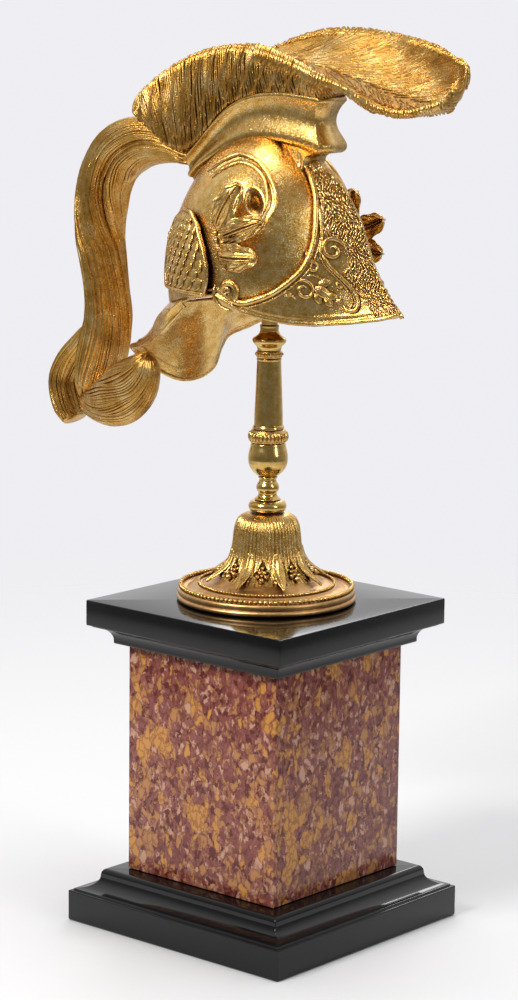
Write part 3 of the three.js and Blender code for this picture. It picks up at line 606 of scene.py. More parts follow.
def makeFoot(look):
    z = boxMm("foot_disc")[0][2]
    disc = turnedMesh("footDisc", z, [
        (0, 0), (39.0, 0), (39.7, 0.7), (39.8, 1.6), (39.4, 2.3), (38.9, 2.6), (39.3, 3), (39.4, 4.2), (39.2, 5),
        (38.6, 5.5), (37.2, 5.6), (36.4, 5.0), (35.2, 4.9), (31.8, 6.2), (31.0, 6.9), (29.6, 7.2), (28.8, 6.9),
        (25, 8.4), (22.4, 10.2), (0, 10.4)], stippledGilt, sides=144)
    settle(disc, "burnished_gilt", "foot_disc")
    ball = beadPattern("beadShape")
    parts = []
    for radius, height, size, count in (
            (look["outerRadius"], z + look["outerHeight"], look["outerBead"], look["outerCount"]),
            (look["innerRadius"], z + look["innerHeight"], look["innerBead"], look["innerCount"])):
        points, away = ringOfPoints(radius, height, count)
        up = np.tile([0, 0, 1.0], (count, 1))
        parts.append(ornamentsAt("discBeads", points, up, away, np.full(count, size), ball, fireGilt, 0.06))
    settle(joinPieces("footBeads", parts), "gilt_bronze")
    low, high = boxMm("bead_ring")
    core = turnedMesh("beadRingCore", low[2], [(0, 0), (5.4, 0), (5.7, 0.4), (5.7, 2.6), (5.4, 3), (0, 3)],
                      fireGilt)
    points, away = ringOfPoints(look["neckRadius"], (low[2] + high[2]) / 2, look["neckCount"])
    up = np.tile([0, 0, 1.0], (look["neckCount"], 1))
    beads = ornamentsAt("neckBeads", points, up, away, np.full(look["neckCount"], look["neckBead"]), ball,
                        fireGilt, 0.04)
    settle(joinPieces("beadRing", [core, beads]), "gilt_bronze", "bead_ring")
    bottom = boxMm("gadroon_ring")[0][2]
    core = turnedMesh("gadroonCore", bottom, [(0, 0), (7.9, 0), (8.2, 0.5), (8.2, 4.3), (7.3, 5.7), (0, 5.7)],
                      fireGilt)
    count = look["gadroonCount"]
    points, away = ringOfPoints(look["gadroonRadius"], bottom + look["gadroonHeight"], count)
    egg = beadPattern("gadroonShape", (1.25, 0.82, 2.3))
    lobes = ornamentsAt("gadroons", points, up[:count], away[:count], np.ones(count), egg, fireGilt, 0.02)
    settle(joinPieces("gadroonRing", [core, lobes]), "gilt_bronze", "gadroon_ring")


makeFoot(beadRingLook)

bellLook = {
    "leaves": 8, "leafTurn": -32.9, "flutes": 7, "fluteDepth": 0.75, "leafStand": 1.0, "tipHalf": 2.9,
    "outline": [(24.4, -1.7), (22.6, -0.3), (20.7, 1.4), (18.7, 3.6), (16.9, 6.6), (15.6, 10.5), (14.9, 15),
                (14.6, 19), (14.0, 22.6), (12.7, 25.6), (10.6, 27.6), (8.6, 28.3)],
    "tipSpine": [(15.2, 12), (16.4, 8.4), (18.6, 4.9), (21.2, 2.6), (24.2, 0.6), (27.6, -1.9)],
    # berries between two leaves: turn in radians, radius, height, size
    "berries": [(0, 21.4, 1.6, 1.35), (-0.1, 20.0, 2.8, 1.15), (0.1, 20.0, 2.8, 1.15), (-0.055, 18.5, 4.4, 1.05),
                (0.055, 18.5, 4.4, 1.05), (0, 19.5, 3.3, 0.9), (-0.13, 18.0, 5.2, 0.7), (0.13, 18.0, 5.2, 0.7),
                (0, 17.2, 6.2, 0.95)],
}


def makeBell(look):
    # eight long palm leaves hang over the bell, their tips pointing out over the disc
    z0 = boxMm("leaf_bell")[0][2]
    top = look["outline"][-1][1]
    outline = alongLine(look["outline"], 90)
    columns = 480
    turn = np.linspace(0, 2 * np.pi, columns, endpoint=False)
    step = 2 * np.pi / look["leaves"]
    start = math.radians(look["leafTurn"])
    within = ((turn - start + step / 2) % step) / step - 0.5          # -0.5..0.5 across each leaf
    rings = []
    for radius, height in outline:
        rise = max(height, 0) / top
        halfWide = 0.5 * smoothStep(rise, -0.12, 0.40) + 0.02
        onLeaf = smoothStep(halfWide - np.abs(within), -0.015, 0.02)
        flute = np.abs(np.cos(np.pi * look["flutes"] * within)) ** 0.6
        edge = np.exp(-((np.abs(within) - halfWide) / 0.03) ** 2)
        rib = np.exp(-(within / 0.035) ** 2)
        relief = look["leafStand"] * (1 - 0.6 * rise) + look["fluteDepth"] * flute
        relief = onLeaf * smoothStep(height, -1.5, 3.0) * (relief + (0.3 * edge + 0.7 * rib) * (1 - 0.7 * rise))
        behind = (1 - onLeaf) * 0.35 * np.abs(np.cos(np.pi * 10 * within))
        r = radius + (relief + behind) * smoothStep(top - height, -0.5, 3.0) - 1.0
        rings.append(np.stack([r * np.cos(turn), r * np.sin(turn), np.full(columns, z0 + height)], 1))
    parts = [tubeMesh("bellCore", rings, fireGilt)]
    for k in range(look["leaves"]):
        # the free tip of each leaf, a keeled spear lying out on the disc
        angle = start + k * step
        away = np.array([math.cos(angle), math.sin(angle), 0])
        side = np.array([-math.sin(angle), math.cos(angle), 0])
        spine = alongLine(look["tipSpine"], 26)
        blade = []
        for i, (radius, height) in enumerate(spine):
            t = i / 25
            wide = look["tipHalf"] * math.sin(math.pi * (0.16 + 0.84 * t)) ** 0.8 + 0.08
            across = np.array([-1, -0.75, -0.4, -0.14, 0, 0.14, 0.4, 0.75, 1, 0.5, -0.5])
            stand = np.array([0.0, 0.7, 0.55, 1.1, 1.6, 1.1, 0.55, 0.7, 0.0, -0.8, -0.8]) * (1 - 0.45 * t)
            middle = away * radius + np.array([0, 0, z0 + height])
            lift = unit(away * 0.8 + np.array([0, 0, 0.5 + 0.8 * t]))
            blade.append(middle + np.outer(across * wide, side) + np.outer(stand, lift))
        parts.append(tubeMesh("leafTip", blade, fireGilt))
    ball = bpy.data.objects["beadShape"]
    berries, outs, sizes = [], [], []
    for k in range(look["leaves"]):
        angle = start + (k + 0.5) * step
        for dTurn, radius, height, size in look["berries"]:
            a = angle + dTurn
            berries.append((radius * math.cos(a), radius * math.sin(a), z0 + height))
            outs.append((math.cos(a), math.sin(a), 0.4))
            sizes.append(size)
    up = np.tile([0, 0, 1.0], (len(berries), 1))
    parts.append(ornamentsAt("bellBerries", berries, unit(np.array(outs)), up, sizes, ball, fireGilt, 0.1))
    settle(joinPieces("leafBell", parts), "gilt_bronze", "leaf_bell")


makeBell(bellLook)
print("foot and stem done")


# the shape of the bowl, as a rule that every ornament on it follows
bowlShape = {
    "centreZ": 290.0, "crownHeight": 64.0, "frontHalf": 36.0, "rearHalf": 46.5, "sideHalf": 42.0, "wall": 2.6,
    "prowTop": 345.0, "prowReach": 21.0, "prowDrop": 16.0, "prowFlareTop": 310.0, "prowFlare": 0.019,
    "noseRadius": 3.0, "prowWidth": 16.0,
    "rim": [(0, 281), (7, 278), (15, 276.1), (27, 274.8), (38, 275.4), (52, 277.4), (65, 280.1), (75, 284),
            (83, 286.5), (104, 284.5), (130, 280), (155, 278), (180, 277.5)],
}


def bowlAt(degrees, z, out=0.0):
    # points on the bowl: degrees from the front, positive to the left, and the distance out
    s = bowlShape
    degrees, z, out = np.broadcast_arrays(np.asarray(degrees, float), np.asarray(z, float), np.asarray(out, float))
    angle = np.radians(degrees)
    level = np.sqrt(np.maximum(0, 1 - ((z - s["centreZ"]) / (s["crownHeight"] + out)) ** 2))
    half = np.where(np.cos(angle) > 0, s["frontHalf"], s["rearHalf"]) + out
    turn = np.abs((degrees + 540) % 360 - 180)
    nose = np.hypot(turn, s["noseRadius"]) - s["noseRadius"]
    upper = np.where(z > s["prowTop"], 0, s["prowReach"] * (1 - np.exp((np.minimum(z, s["prowTop"]) - s["prowTop"])
                                                                       / s["prowDrop"])))
    reach = (upper + s["prowFlare"] * np.maximum(0, s["prowFlareTop"] - z) ** 2) * np.exp(-nose / s["prowWidth"])
    return np.stack([half * level * np.cos(angle) + reach, (s["sideHalf"] + out) * level * np.sin(angle), z], -1)


def rimZ(degrees):
    turn = np.abs((np.asarray(degrees, float) + 540) % 360 - 180)
    line = np.array(bowlShape["rim"])
    return np.interp(turn, line[:, 0], line[:, 1])


def bowlFrame(degrees, z):
    # the point, the way out, the way round and the way up along the surface
    p = bowlAt(degrees, z)
    roundWay = (bowlAt(np.add(degrees, 0.5), z) - bowlAt(np.subtract(degrees, 0.5), z))
    up = (bowlAt(degrees, np.add(z, 0.4)) - bowlAt(degrees, np.subtract(z, 0.4))) / 0.8
    out = unit(np.cross(roundWay, up))
    return p, out, roundWay, up


def onBowl(degrees, z, across, high, side=1):
    # degrees and z of the spot that lies so many millimetres across (to the rear) and up from there
    roundWay, up = bowlFrame(degrees * side, z)[2:]
    return degrees + across / np.linalg.norm(roundWay), z + high / np.linalg.norm(up)


# lines on the right side, mirrored for the left: degrees from the front and heights
cheekLine = [(13.6, 341), (14, 338.6), (15.4, 333.5), (17.1, 327.5), (19.2, 321.4), (21.2, 314.4), (22.9, 309),
             (25.5, 304.1), (29, 299.5), (33.4, 295.8), (38.8, 292.4), (45.4, 289), (51.7, 286.8), (58.8, 285),
             (65, 284.4)]
earOuterLine = [(116.6, 337.1), (110.6, 339.9), (103.9, 342.6), (88.4, 345.1), (64.5, 343.4), (52, 339.5),
                (45.6, 334.8), (42.7, 329.6), (43.7, 324.3), (48.3, 319.4)]
earInnerLine = [(105.5, 335.1), (96.9, 339.5), (81.7, 342), (64.7, 340.6), (53.4, 336.7), (49.5, 331.5),
                (49.2, 326.3), (52.4, 321.4)]
sScrollLine = [(19.4, 306.1), (17.2, 300.8), (13.9, 296.7), (10.8, 291.8), (9.8, 286.6), (11.5, 282.4),
               (14.2, 282), (14.9, 284.4)]


def spiral(centreDegrees, centreZ, radius, startDegrees, turns, inner=0.25, count=26):
    # a scroll on the bowl that winds in towards its eye; start is measured from the rear, upwards
    t = np.linspace(0, 1, count)
    angle = np.radians(startDegrees + 360 * turns * t)
    r = radius * (1 - (1 - inner) * t)
    return [onBowl(centreDegrees, centreZ, r[i] * math.cos(angle[i]), r[i] * math.sin(angle[i]))
            for i in range(count)]


def lineDistance(points, line):
    # distance in millimetres from flat points to a flat line, and the side they lie on
    best, sign = np.full(len(points), 1e9), np.zeros(len(points))
    for a, b in zip(line, line[1:]):
        d = b - a
        t = np.clip(((points - a) @ d) / (d @ d), 0, 1)
        away = points - (a + t[:, None] * d)
        dist = np.linalg.norm(away, axis=1)
        nearer = dist < best
        best = np.where(nearer, dist, best)
        sign = np.where(nearer, np.sign(d[0] * away[:, 1] - d[1] * away[:, 0]), sign)
    return best, sign


bowlLook = {"columns": 440, "rows": 150, "innerRows": 14, "cheekDepth": 1.1, "cheekFade": 4.0,
            "edgeRoll": 1.0, "edgeLine": 0.5, "hollowDepth": 2.1}
flatScale = np.array([0.72, 1.0])  # millimetres for one degree and one of height at the cheek


def earPit(turn, z):
    # the deep hollow behind the upper leaf, sharp at its edge; it sinks the surface and also marks where shade is
    # painted dark on the bowl
    across = (turn - 58.5) * flatScale[0]
    return np.exp(-((across / 4.3) ** 2 + ((z - 326.6) / 4.6) ** 2 - 0.12 * across * (z - 326.6) / 4) ** 3)


def bowlRelief(degrees, z, look):
    turn = np.abs((degrees + 540) % 360 - 180)
    rise = z - rimZ(turn)
    front = smoothStep(92 - turn, 0, 8)
    relief = front * (look["edgeRoll"] * np.exp(-((rise - 0.8) / 0.8) ** 2)
                      - 0.35 * np.exp(-((rise - 2.2) / 0.5) ** 2)
                      + look["edgeLine"] * np.exp(-((rise - 3.3) / 0.5) ** 2))
    flat = np.stack([turn * flatScale[0], z * flatScale[1]], -1).reshape(-1, 2)
    cheek = alongLine(np.array(cheekLine) * flatScale, 60)
    distance, sign = lineDistance(flat, cheek)
    inside = sign < 0 if lineDistance(np.array([[40 * flatScale[0], 310.0]]), cheek)[1][0] < 0 else sign > 0
    distance = distance.reshape(turn.shape)
    inside = inside.reshape(turn.shape)
    behind = smoothStep(turn, 60, 78)
    relief -= np.where(inside, look["cheekDepth"] * np.exp(-np.maximum(0, distance - 1.0) / look["cheekFade"]), 0) \
        * (1 - behind) * smoothStep(z, 283, 286)
    # the sunk hollow behind the upper leaf, which makeBowl also paints dark as shade
    relief -= look["hollowDepth"] * earPit(turn, z)
    # the shallow valley between the two lines round the ear
    outer = alongLine(np.array(earOuterLine) * flatScale, 40)
    inner = alongLine(np.array(earInnerLine) * flatScale, 40)
    middle = (outer + inner) / 2
    gutter = lineDistance(flat, middle)[0].reshape(turn.shape)
    relief -= 0.7 * np.exp(-(gutter / 1.2) ** 2)
    return relief


def makeBowl(look):
    s = bowlShape
    n, m = look["columns"], look["rows"]
    degrees = np.linspace(0, 360, n, endpoint=False)
    crown = s["centreZ"] + s["crownHeight"]
    rings, paintedPitShade = [], []
    for r in range(m):
        rise = math.sin(math.pi / 2 * r / m)
        z = rimZ(degrees) + (crown - rimZ(degrees)) * rise
        p, out, _, _ = bowlFrame(degrees, z)
        rings.append(p + out * bowlRelief(degrees, z, look)[:, None])
        paintedPitShade.append(earPit(np.abs((degrees + 540) % 360 - 180), z))
    outer = np.array(rings)
    inner = []
    for r in range(look["innerRows"]):
        rise = math.sin(math.pi / 2 * r / look["innerRows"])
        top = crown - s["wall"]
        z = rimZ(degrees) + (top - rimZ(degrees)) * rise
        inner.append(bowlAt(degrees, z, -s["wall"]))
    inner = np.array(inner)
    points = list(outer.reshape(-1, 3)) + [np.array([0, 0, crown])]
    apex = len(points) - 1
    start = len(points)
    points += list(inner.reshape(-1, 3)) + [np.array([0, 0, crown - s["wall"]])]
    innerApex = len(points) - 1
    faces = gridFaces(m, n) + gridFaces(look["innerRows"], n, flip=True, start=start)
    for c in range(n):
        d = (c + 1) % n
        faces.append(((m - 1) * n + c, (m - 1) * n + d, apex))
        faces.append((start + (look["innerRows"] - 1) * n + d, start + (look["innerRows"] - 1) * n + c, innerApex))
        faces.append((d, c, start + c, start + d))
    # painted shade: the pit behind the upper leaf is coloured dark through this attribute
    paintedShadeRecess = np.zeros(len(points))
    paintedShadeRecess[:m * n] = np.array(paintedPitShade).ravel()
    piece = finishMesh("helmetBowl", points, facingOut(points, faces), fireGilt, attributes={"paintedShadeRecess": paintedShadeRecess})
    settle(piece, "gilt_bronze", "helmet_bowl")


makeBowl(bowlLook)
rodLow, rodHigh = boxMm("fixing_rod")
rodRadius, rodLength = 3.6, rodHigh[2] - rodLow[2]
rod = turnedMesh("fixingRod", rodLow[2], [(0, 0), (rodRadius, 0), (rodRadius, rodLength), (0, rodLength)],
                 burnishedGilt, 32)
settle(rod, "burnished_gilt", "fixing_rod")
print("bowl done")


# mouldings, scrolls and chased hair on the bowl
def taper(count, ends=0.35, share=0.12):
    t = np.linspace(0, 1, count)
    return ends + (1 - ends) * np.minimum(smoothStep(t, 0, share), smoothStep(1 - t, 0, share))


def bowlWire(line, count, side, lift):
    # a line over the bowl at a height above it, on one side
    flat = alongLine(line, count)
    p, out, _, _ = bowlFrame(flat[:, 0] * side, flat[:, 1])
    return p + out * lift


def shifted(line, distance):
    # the same flat line moved sideways, in millimetres at the cheek
    p = np.array(line, float) * flatScale
    d = unit(np.gradient(p, axis=0))
    return (p + np.stack([-d[:, 1], d[:, 0]], 1) * distance) / flatScale


mouldingLook = {"cheekBand": 1.35, "cheekFillet": 0.5, "cheekOffset": 2.1, "ear": 1.15, "earInner": 0.75,
                "scroll": 1.05}


def makeMouldings(look):
    cheekVolute = spiral(73.2, 289.4, 4.9, -95, -0.95, 0.3)
    for side, word in ((-1, "right"), (1, "left")):
        band = bowlWire(cheekLine + cheekVolute[2:], 110, side, 0.35)
        fillet = bowlWire(shifted(cheekLine[1:], -look["cheekOffset"]), 80, side, 0.05)
        eye = spiral(73.2, 289.4, 1.3, 0, 0.9, 0.3, 8)
        lines = [band, fillet, bowlWire(eye, 12, side, 0.5)]
        widths = [taper(110, 0.5, 0.05) * look["cheekBand"] * np.linspace(0.9, 1.1, 110),
                  taper(80, 0.3) * look["cheekFillet"], np.full(12, 0.8)]
        piece = wiresAlong(word + "CheekBand", lines, widths, 1.0, fireGilt, 0.0, 10)
        settle(piece, "gilt_bronze", word + "_cheek_band")
        outer = bowlWire(earOuterLine, 90, side, 0.2)
        inner = bowlWire(earInnerLine, 80, side, 0.15)
        piece = wiresAlong(word + "EarBand", [outer, inner],
                           [taper(90, 0.2) * look["ear"], taper(80, 0.2) * look["earInner"]], 1.0, fireGilt, 0.0, 10)
        settle(piece, "gilt_bronze", word + "_ear_band")
        scrolls = [
            (sScrollLine, 60, 1.0), (shifted(sScrollLine, 1.2), 50, 0.45),
            (spiral(14.2, 307.0, 5.6, 178, -1.35, 0.18), 60, 1.0),
            ([(20.4, 303), (19.9, 306.5), (18.9, 309.6), (18.2, 313), (17.6, 318), (16.3, 326)], 30, 0.75),
            (spiral(24.3, 299.7, 2.9, 20, 1.05, 0.25), 30, 0.7),
            (spiral(29.4, 290.2, 4.4, 60, 1.25, 0.3), 44, 0.8),
            (spiral(14.4, 292.6, 1.7, 200, 0.8, 0.3), 20, 0.55),
            ([(82.0, 291.5), (82.8, 288.5), (82.3, 285.8), (79.8, 283.4), (76.2, 281.7), (70, 280.5)], 30, 0.9),
            ([(10.6, 319.0), (7.5, 319.2), (4.2, 319.0), (1.0, 318.6)], 16, 0.45),
            ([(27.5, 296.2), (24.4, 296.4), (21.3, 294.9), (18.9, 292.0)], 20, 0.5),
            ([(33.5, 286.4), (36.5, 288.2), (39.5, 287.6)], 14, 0.5),
        ]
        lines = [bowlWire(line, count, side, 0.35) for line, count, _ in scrolls]
        widths = [taper(count, 0.3) * share * look["scroll"] for _, count, share in scrolls]
        settle(wiresAlong(word + "Scrollwork", lines, widths, 1.0, fireGilt, 0.0, 8), "gilt_bronze")


makeMouldings(mouldingLook)


def sprayLeaf(name, length=7.0, width=2.4):
    # a small pointed leaf with a hollow either side of its rib, 1 mm thick, pointing along +X
    rows = []
    for t in np.linspace(0, 1, 12):
        wide = width * math.sin(math.pi * min(0.97, 0.06 + 0.9 * t)) ** 0.7
        across = np.array([-1, -0.6, -0.2, 0, 0.2, 0.6, 1, 0.5, -0.5])
        stand = np.array([0.3, 0.75, 0.45, 0.95, 0.45, 0.75, 0.3, -0.5, -0.5])
        rows.append(np.stack([np.full(9, length * t), across * wide, stand + 0.6 * math.sin(math.pi * t)], 1))
    return patternMesh(name, rows)


def strokeShape(name):
    # one comma of chased hair, a keeled lock 3 mm long that bends to one side
    rows = []
    for t in np.linspace(0, 1, 7):
        wide = 0.62 * math.sin(math.pi * (0.12 + 0.8 * t)) ** 0.8 * (1 - 0.35 * t)
        bend = 0.75 * t * t
        across = np.array([-1, -0.45, 0.1, 0.6, 1.0, 0])
        stand = np.array([-0.15, 0.5, 0.85, 0.55, -0.15, -0.4]) * (0.6 + 0.4 * math.sin(math.pi * t))
        rows.append(np.stack([np.full(6, 3.2 * t - 1.6), across * wide + bend, stand], 1))
    return patternMesh(name, rows)


fleeceLook = {"count": 1250, "spread": 1.05, "seed": 7, "lift": 0.14, "sizeLow": 0.6, "sizeHigh": 1.15}


def fleeceLimit(z):
    # how far round from the nose the chased hair reaches at each height
    return np.interp(z, [280, 284, 292, 297, 301, 306, 312, 314, 327, 338, 345],
                     [7.0, 8.2, 9.0, 11.5, 9.0, 8.4, 12.5, 18.0, 14.8, 12.4, 18.0])


def makeFleece(look):
    rng = np.random.default_rng(look["seed"])
    stroke = strokeShape("hairStroke")
    points, outs, ways, sizes = [], [], [], []
    kept = np.zeros((0, 3))
    tries = 0
    while len(points) < look["count"] and tries < 30000:
        tries += 1
        z = rng.uniform(280.5, 347)
        degrees = rng.uniform(-1, 1) * float(fleeceLimit(z))
        p, out, roundWay, up = bowlFrame(degrees, z)
        if len(kept) and np.min(np.linalg.norm(kept - p, axis=1)) < look["spread"]:
            continue
        kept = np.vstack([kept, p])
        down = -unit(up)
        sideways = unit(roundWay) * math.copysign(1, degrees if degrees else 1)
        swirl = 0.35 + 0.75 * math.sin(z * 0.35 + degrees * 0.25) + rng.uniform(-0.45, 0.45)
        points.append(p + out * look["lift"])
        outs.append(out)
        ways.append(unit(down + sideways * swirl))
        sizes.append(rng.uniform(look["sizeLow"], look["sizeHigh"]))
    settle(ornamentsAt("chasedHair", points, outs, ways, sizes, stroke, fleeceGilt, 0.1, look["seed"]), "gilt_bronze")
    spray = sprayLeaf("sprayLeaf")
    points, outs, ways, sizes = [], [], [], []
    for side in (-1, 1):
        for degrees, z, turn, size in ((24.5, 291.2, -32, 1.05), (22.8, 292.6, 12, 0.8), (24.2, 289.4, -78, 0.75),
                                       (20.2, 288.2, -12, 0.7), (20.8, 287.2, -60, 0.7), (16.9, 286.4, -38, 0.55),
                                       (26.0, 303.0, 95, 0.5), (35.5, 288.0, 165, 0.55)):
            p, out, roundWay, up = bowlFrame(degrees * side, z)
            front = -unit(roundWay) * side
            angle = math.radians(turn)
            points.append(p + out * 0.1)
            outs.append(out)
            ways.append(front * math.cos(angle) + unit(up) * math.sin(angle))
            sizes.append(size)
    settle(ornamentsAt("leafSprays", points, outs, ways, sizes, spray, fireGilt, 0.05, 3), "gilt_bronze")


makeFleece(fleeceLook)
print("bowl ornaments done")


# leaves and scale plates, three and one on each side
leafLook = {  # base, tip, half width, way it faces, rise of its middle; the left ones hang lower
    "rightUpper": ((4.5, -41.4, 315.6), (16.4, -40.4, 334.6), 6.4, (0.15, -1, 0.2), 2.2),
    "rightMiddle": ((9.0, -43.0, 312.0), (30.2, -42.2, 320.0), 5.4, (0.12, -1, 0.05), 2.0),
    "rightLower": ((7.8, -43.6, 304.0), (28.0, -43.4, 304.6), 6.2, (0.12, -1, -0.12), 2.2),
    "leftUpper": ((4.0, -42.0, 312.0), (14.6, -41.4, 326.8), 6.0, (0.2, -1, 0.2), 2.2),
    "leftMiddle": ((9.5, -43.6, 307.6), (29.2, -42.8, 315.2), 5.4, (0.12, -1, 0.05), 2.0),
    "leftLower": ((8.0, -44.0, 300.2), (28.0, -43.8, 299.8), 5.8, (0.12, -1, -0.12), 2.2),
}


def makeLeaf(base, tip, halfWidth, face, rise, seed):
    # a broad leaf with a forked midrib, ribbed blades and a crumpled edge
    rng = np.random.default_rng(seed)
    rows, columns = 54, 41
    base, tip, face = np.array(base), np.array(tip), np.array(face)
    forward = tip - base
    outward = unit(face - forward * (face @ forward) / (forward @ forward))
    side = np.cross(unit(forward), outward)
    t = np.linspace(0, 1, rows)[:, None]
    c = np.linspace(-1, 1, columns)[None, :]
    width = halfWidth * np.maximum(0.24, np.sin(np.pi * np.minimum(0.97, 0.10 + 0.87 * t)) ** 0.5)
    width = width * (1 + 0.06 * np.sin(5 * np.pi * t + rng.uniform(0, 6)) * np.abs(c) ** 3)
    crown = rise * np.sin(np.pi * np.minimum(1, t * 1.02)) - 1.6 * c * c
    rib = 1.0 * np.exp(-((np.abs(c) - 0.13) / 0.055) ** 2)
    groove = -0.7 * np.exp(-(c / 0.05) ** 2)
    veins = 0.14 * np.sin(2 * np.pi * (3.2 * t + 2.2 * np.abs(c) ** 1.3)) * smoothStep(np.abs(c), 0.2, 0.45)
    ridge = 0.35 * np.exp(-((np.abs(c) - 0.52) / 0.07) ** 2) * np.sin(np.pi * t)
    dish = -0.9 * np.exp(-((np.abs(c) - 0.42) / 0.2) ** 2) + 0.7 * np.exp(-((np.abs(c) - 0.95) / 0.1) ** 2)
    crumple = 0.45 * np.sin(4.6 * t * np.pi + 2.5 * c + seed) * np.abs(c) + ridge
    height = crown + (rib + groove + veins + dish + crumple) * smoothStep(t, 0.0, 0.12)
    top = base + t[..., None] * forward + (c * width)[..., None] * side + height[..., None] * outward
    under = top - outward * (1.5 - 0.7 * np.abs(c))[..., None]
    return np.vstack([top.reshape(-1, 3), under.reshape(-1, 3)]), sheetFaces(rows, columns)


def makeLeaves(look):
    for k, (which, sizes) in enumerate(look.items()):
        side = "right" if which.startswith("right") else "left"
        level = which[len(side):]
        points, faces = makeLeaf(*sizes, seed=11 + k % 3)
        if side == "left":
            points = points * np.array([1, -1, 1])
        piece = finishMesh(side + "Leaf" + level, points, facingOut(points, faces), fireGilt)
        settle(piece, "gilt_bronze", f"{side}_leaf_{level.lower()}")
    ball = bpy.data.objects["beadShape"]
    buds = [(9.2, 41.6, 309.6, 1.9), (7.0, 42.0, 307.0, 1.4), (7.6, 41.4, 312.6, 1.5), (5.4, 41.6, 310.4, 1.3),
            (11.6, 42.0, 308.6, 1.2), (4.6, 41.2, 313.4, 1.2)]
    points = [(x, y * s, z) for s in (-1, 1) for x, y, z, _ in buds]
    outs = [(0, s, 0) for s in (-1, 1) for _ in buds]
    sizes = [b[3] for _ in (-1, 1) for b in buds]
    settle(ornamentsAt("leafBuds", points, outs, np.tile([1.0, 0, 0], (len(points), 1)), sizes, ball, fireGilt),
           "gilt_bronze")


makeLeaves(leafLook)

plateLook = {"bottom": 287.3, "top": 321.0, "stand": 2.0, "scale": 4.5, "rimRadius": 0.9, "levels": 8, "perLevel": 6,
             "front": [(286.5, 88), (293, 85.3), (299, 85.8), (306, 89.5), (316, 97), (321.5, 106)],
             "back": [(286.5, 134), (293, 137), (306, 138), (316, 132), (321.5, 120)]}


def plateSpot(look, t, c, out, side):
    # a spot on the plate: t upwards, c from its front edge to its back edge
    z = look["bottom"] + (look["top"] - look["bottom"]) * np.asarray(t, float)
    front, back = np.array(look["front"]), np.array(look["back"])
    a = np.interp(z, front[:, 0], front[:, 1])
    b = np.interp(z, back[:, 0], back[:, 1])
    degrees = a + (b - a) * np.asarray(c, float)
    lift = 1.8 * (1 - np.asarray(c, float))
    return bowlAt(degrees * side, z, out * (1 - 0.55 * np.asarray(c, float)) + lift)


def scaleShape(name):
    # one overlapping scale, rounded at its lower end and highest there, pointing along +X
    rows = []
    for t in np.linspace(0, 1, 9):
        wide = 0.56 * math.sqrt(max(0.02, 1 - max(0, (t - 0.35) / 0.65) ** 2.2))
        across = np.array([-1, -0.7, -0.3, 0, 0.3, 0.7, 1, 0])
        stand = np.array([0.0, 0.13, 0.2, 0.22, 0.2, 0.13, 0.0, -0.2]) * (0.1 + 1.0 * t ** 0.7)
        rows.append(np.stack([np.full(8, 1.25 * t - 0.5), across * wide, stand], 1))
    return patternMesh(name, rows)


def makeScalePlates(look):
    scale = scaleShape("plateScale")
    ball = bpy.data.objects["beadShape"]
    for side, word in ((-1, "right"), (1, "left")):
        rows, columns = 44, 44
        t = np.linspace(0, 1, rows)[:, None] * np.ones((1, columns))
        c = np.ones((rows, 1)) * np.linspace(0, 1, columns)[None, :]
        edge = np.minimum(np.minimum(t, 1 - t) * 33, np.minimum(c, 1 - c) * 30)
        stand = look["stand"] - 0.6 * smoothStep(edge, 1.2, 2.4)
        top, under = plateSpot(look, t, c, stand, side), plateSpot(look, t, c, 0.3, side)
        points = np.vstack([top.reshape(-1, 3), under.reshape(-1, 3)])
        plate = finishMesh("plate", points, facingOut(points, sheetFaces(rows, columns)), fireGilt)
        around = [(0, k) for k in np.linspace(0, 1, 14)] + [(k, 1) for k in np.linspace(0.07, 1, 14)] \
            + [(1, k) for k in np.linspace(0.93, 0, 12)] + [(k, 0) for k in np.linspace(0.93, 0, 14)]
        around = alongLine([plateSpot(look, k[0], k[1], look["stand"], side) for k in around], 150)
        border = wiresAlong("plateRim", [around], [np.full(150, look["rimRadius"])], 1.0, fireGilt, 0.0, 8)
        spots, outs, ways, sizes = [], [], [], []
        for r in range(look["levels"]):
            for k in range(look["perLevel"]):
                tt = 0.13 + 0.80 * r / (look["levels"] - 1)
                cc = 0.13 + (k + 0.5 * (r % 2)) / look["perLevel"] * 0.84
                if cc > 0.9:
                    continue
                p = plateSpot(look, tt, cc, look["stand"] - 0.55, side)
                down = unit(plateSpot(look, tt - 0.02, cc, look["stand"], side)
                            - plateSpot(look, tt + 0.02, cc, look["stand"], side))
                along = plateSpot(look, tt, cc + 0.02, 2, side) - plateSpot(look, tt, cc - 0.02, 2, side)
                out = unit(np.cross(along, down))
                if out[1] * side < 0:
                    out = -out
                spots.append(p)
                outs.append(out)
                ways.append(down)
                sizes.append(look["scale"])
        scales = ornamentsAt("plateScales", spots, outs, ways, sizes, scale, fireGilt, 0.06, 5)
        knobs = [plateSpot(look, tt, 0.97, look["stand"] + 0.4, side) for tt in (0.60, 0.66, 0.72)]
        boss = ornamentsAt("plateKnobs", knobs, np.tile([0, side, 0], (3, 1)), np.tile([1.0, 0, 0], (3, 1)),
                           [1.1, 1.3, 1.0], ball, fireGilt)
        settle(joinPieces(word + "ScalePlate", [plate, border, scales, boss]), "gilt_bronze", word + "_scale_plate")


makeScalePlates(plateLook)
print("leaves and scale plates done")


# the neck guard, a thin lobed sheet that hangs from the bowl's rear rim
guardLook = {"wall": 2.2, "startDegrees": 106, "topGap": 0.35, "rim": 1.15, "centre": (0, 0, 268.0), "edge": [
    (-14, -40.5, 280.5), (-22, -40.5, 273), (-30, -37, 268), (-40, -31, 265), (-53, -21, 260), (-67, -12, 256),
    (-78.5, -4, 252.5), (-75, 6, 243.5), (-67, 14, 238), (-61, 21, 238.5), (-58, 28, 243), (-59, 34, 251),
    (-57, 38, 257), (-47, 41.5, 262), (-30, 42.5, 271), (-14, 40.5, 280.5)]}


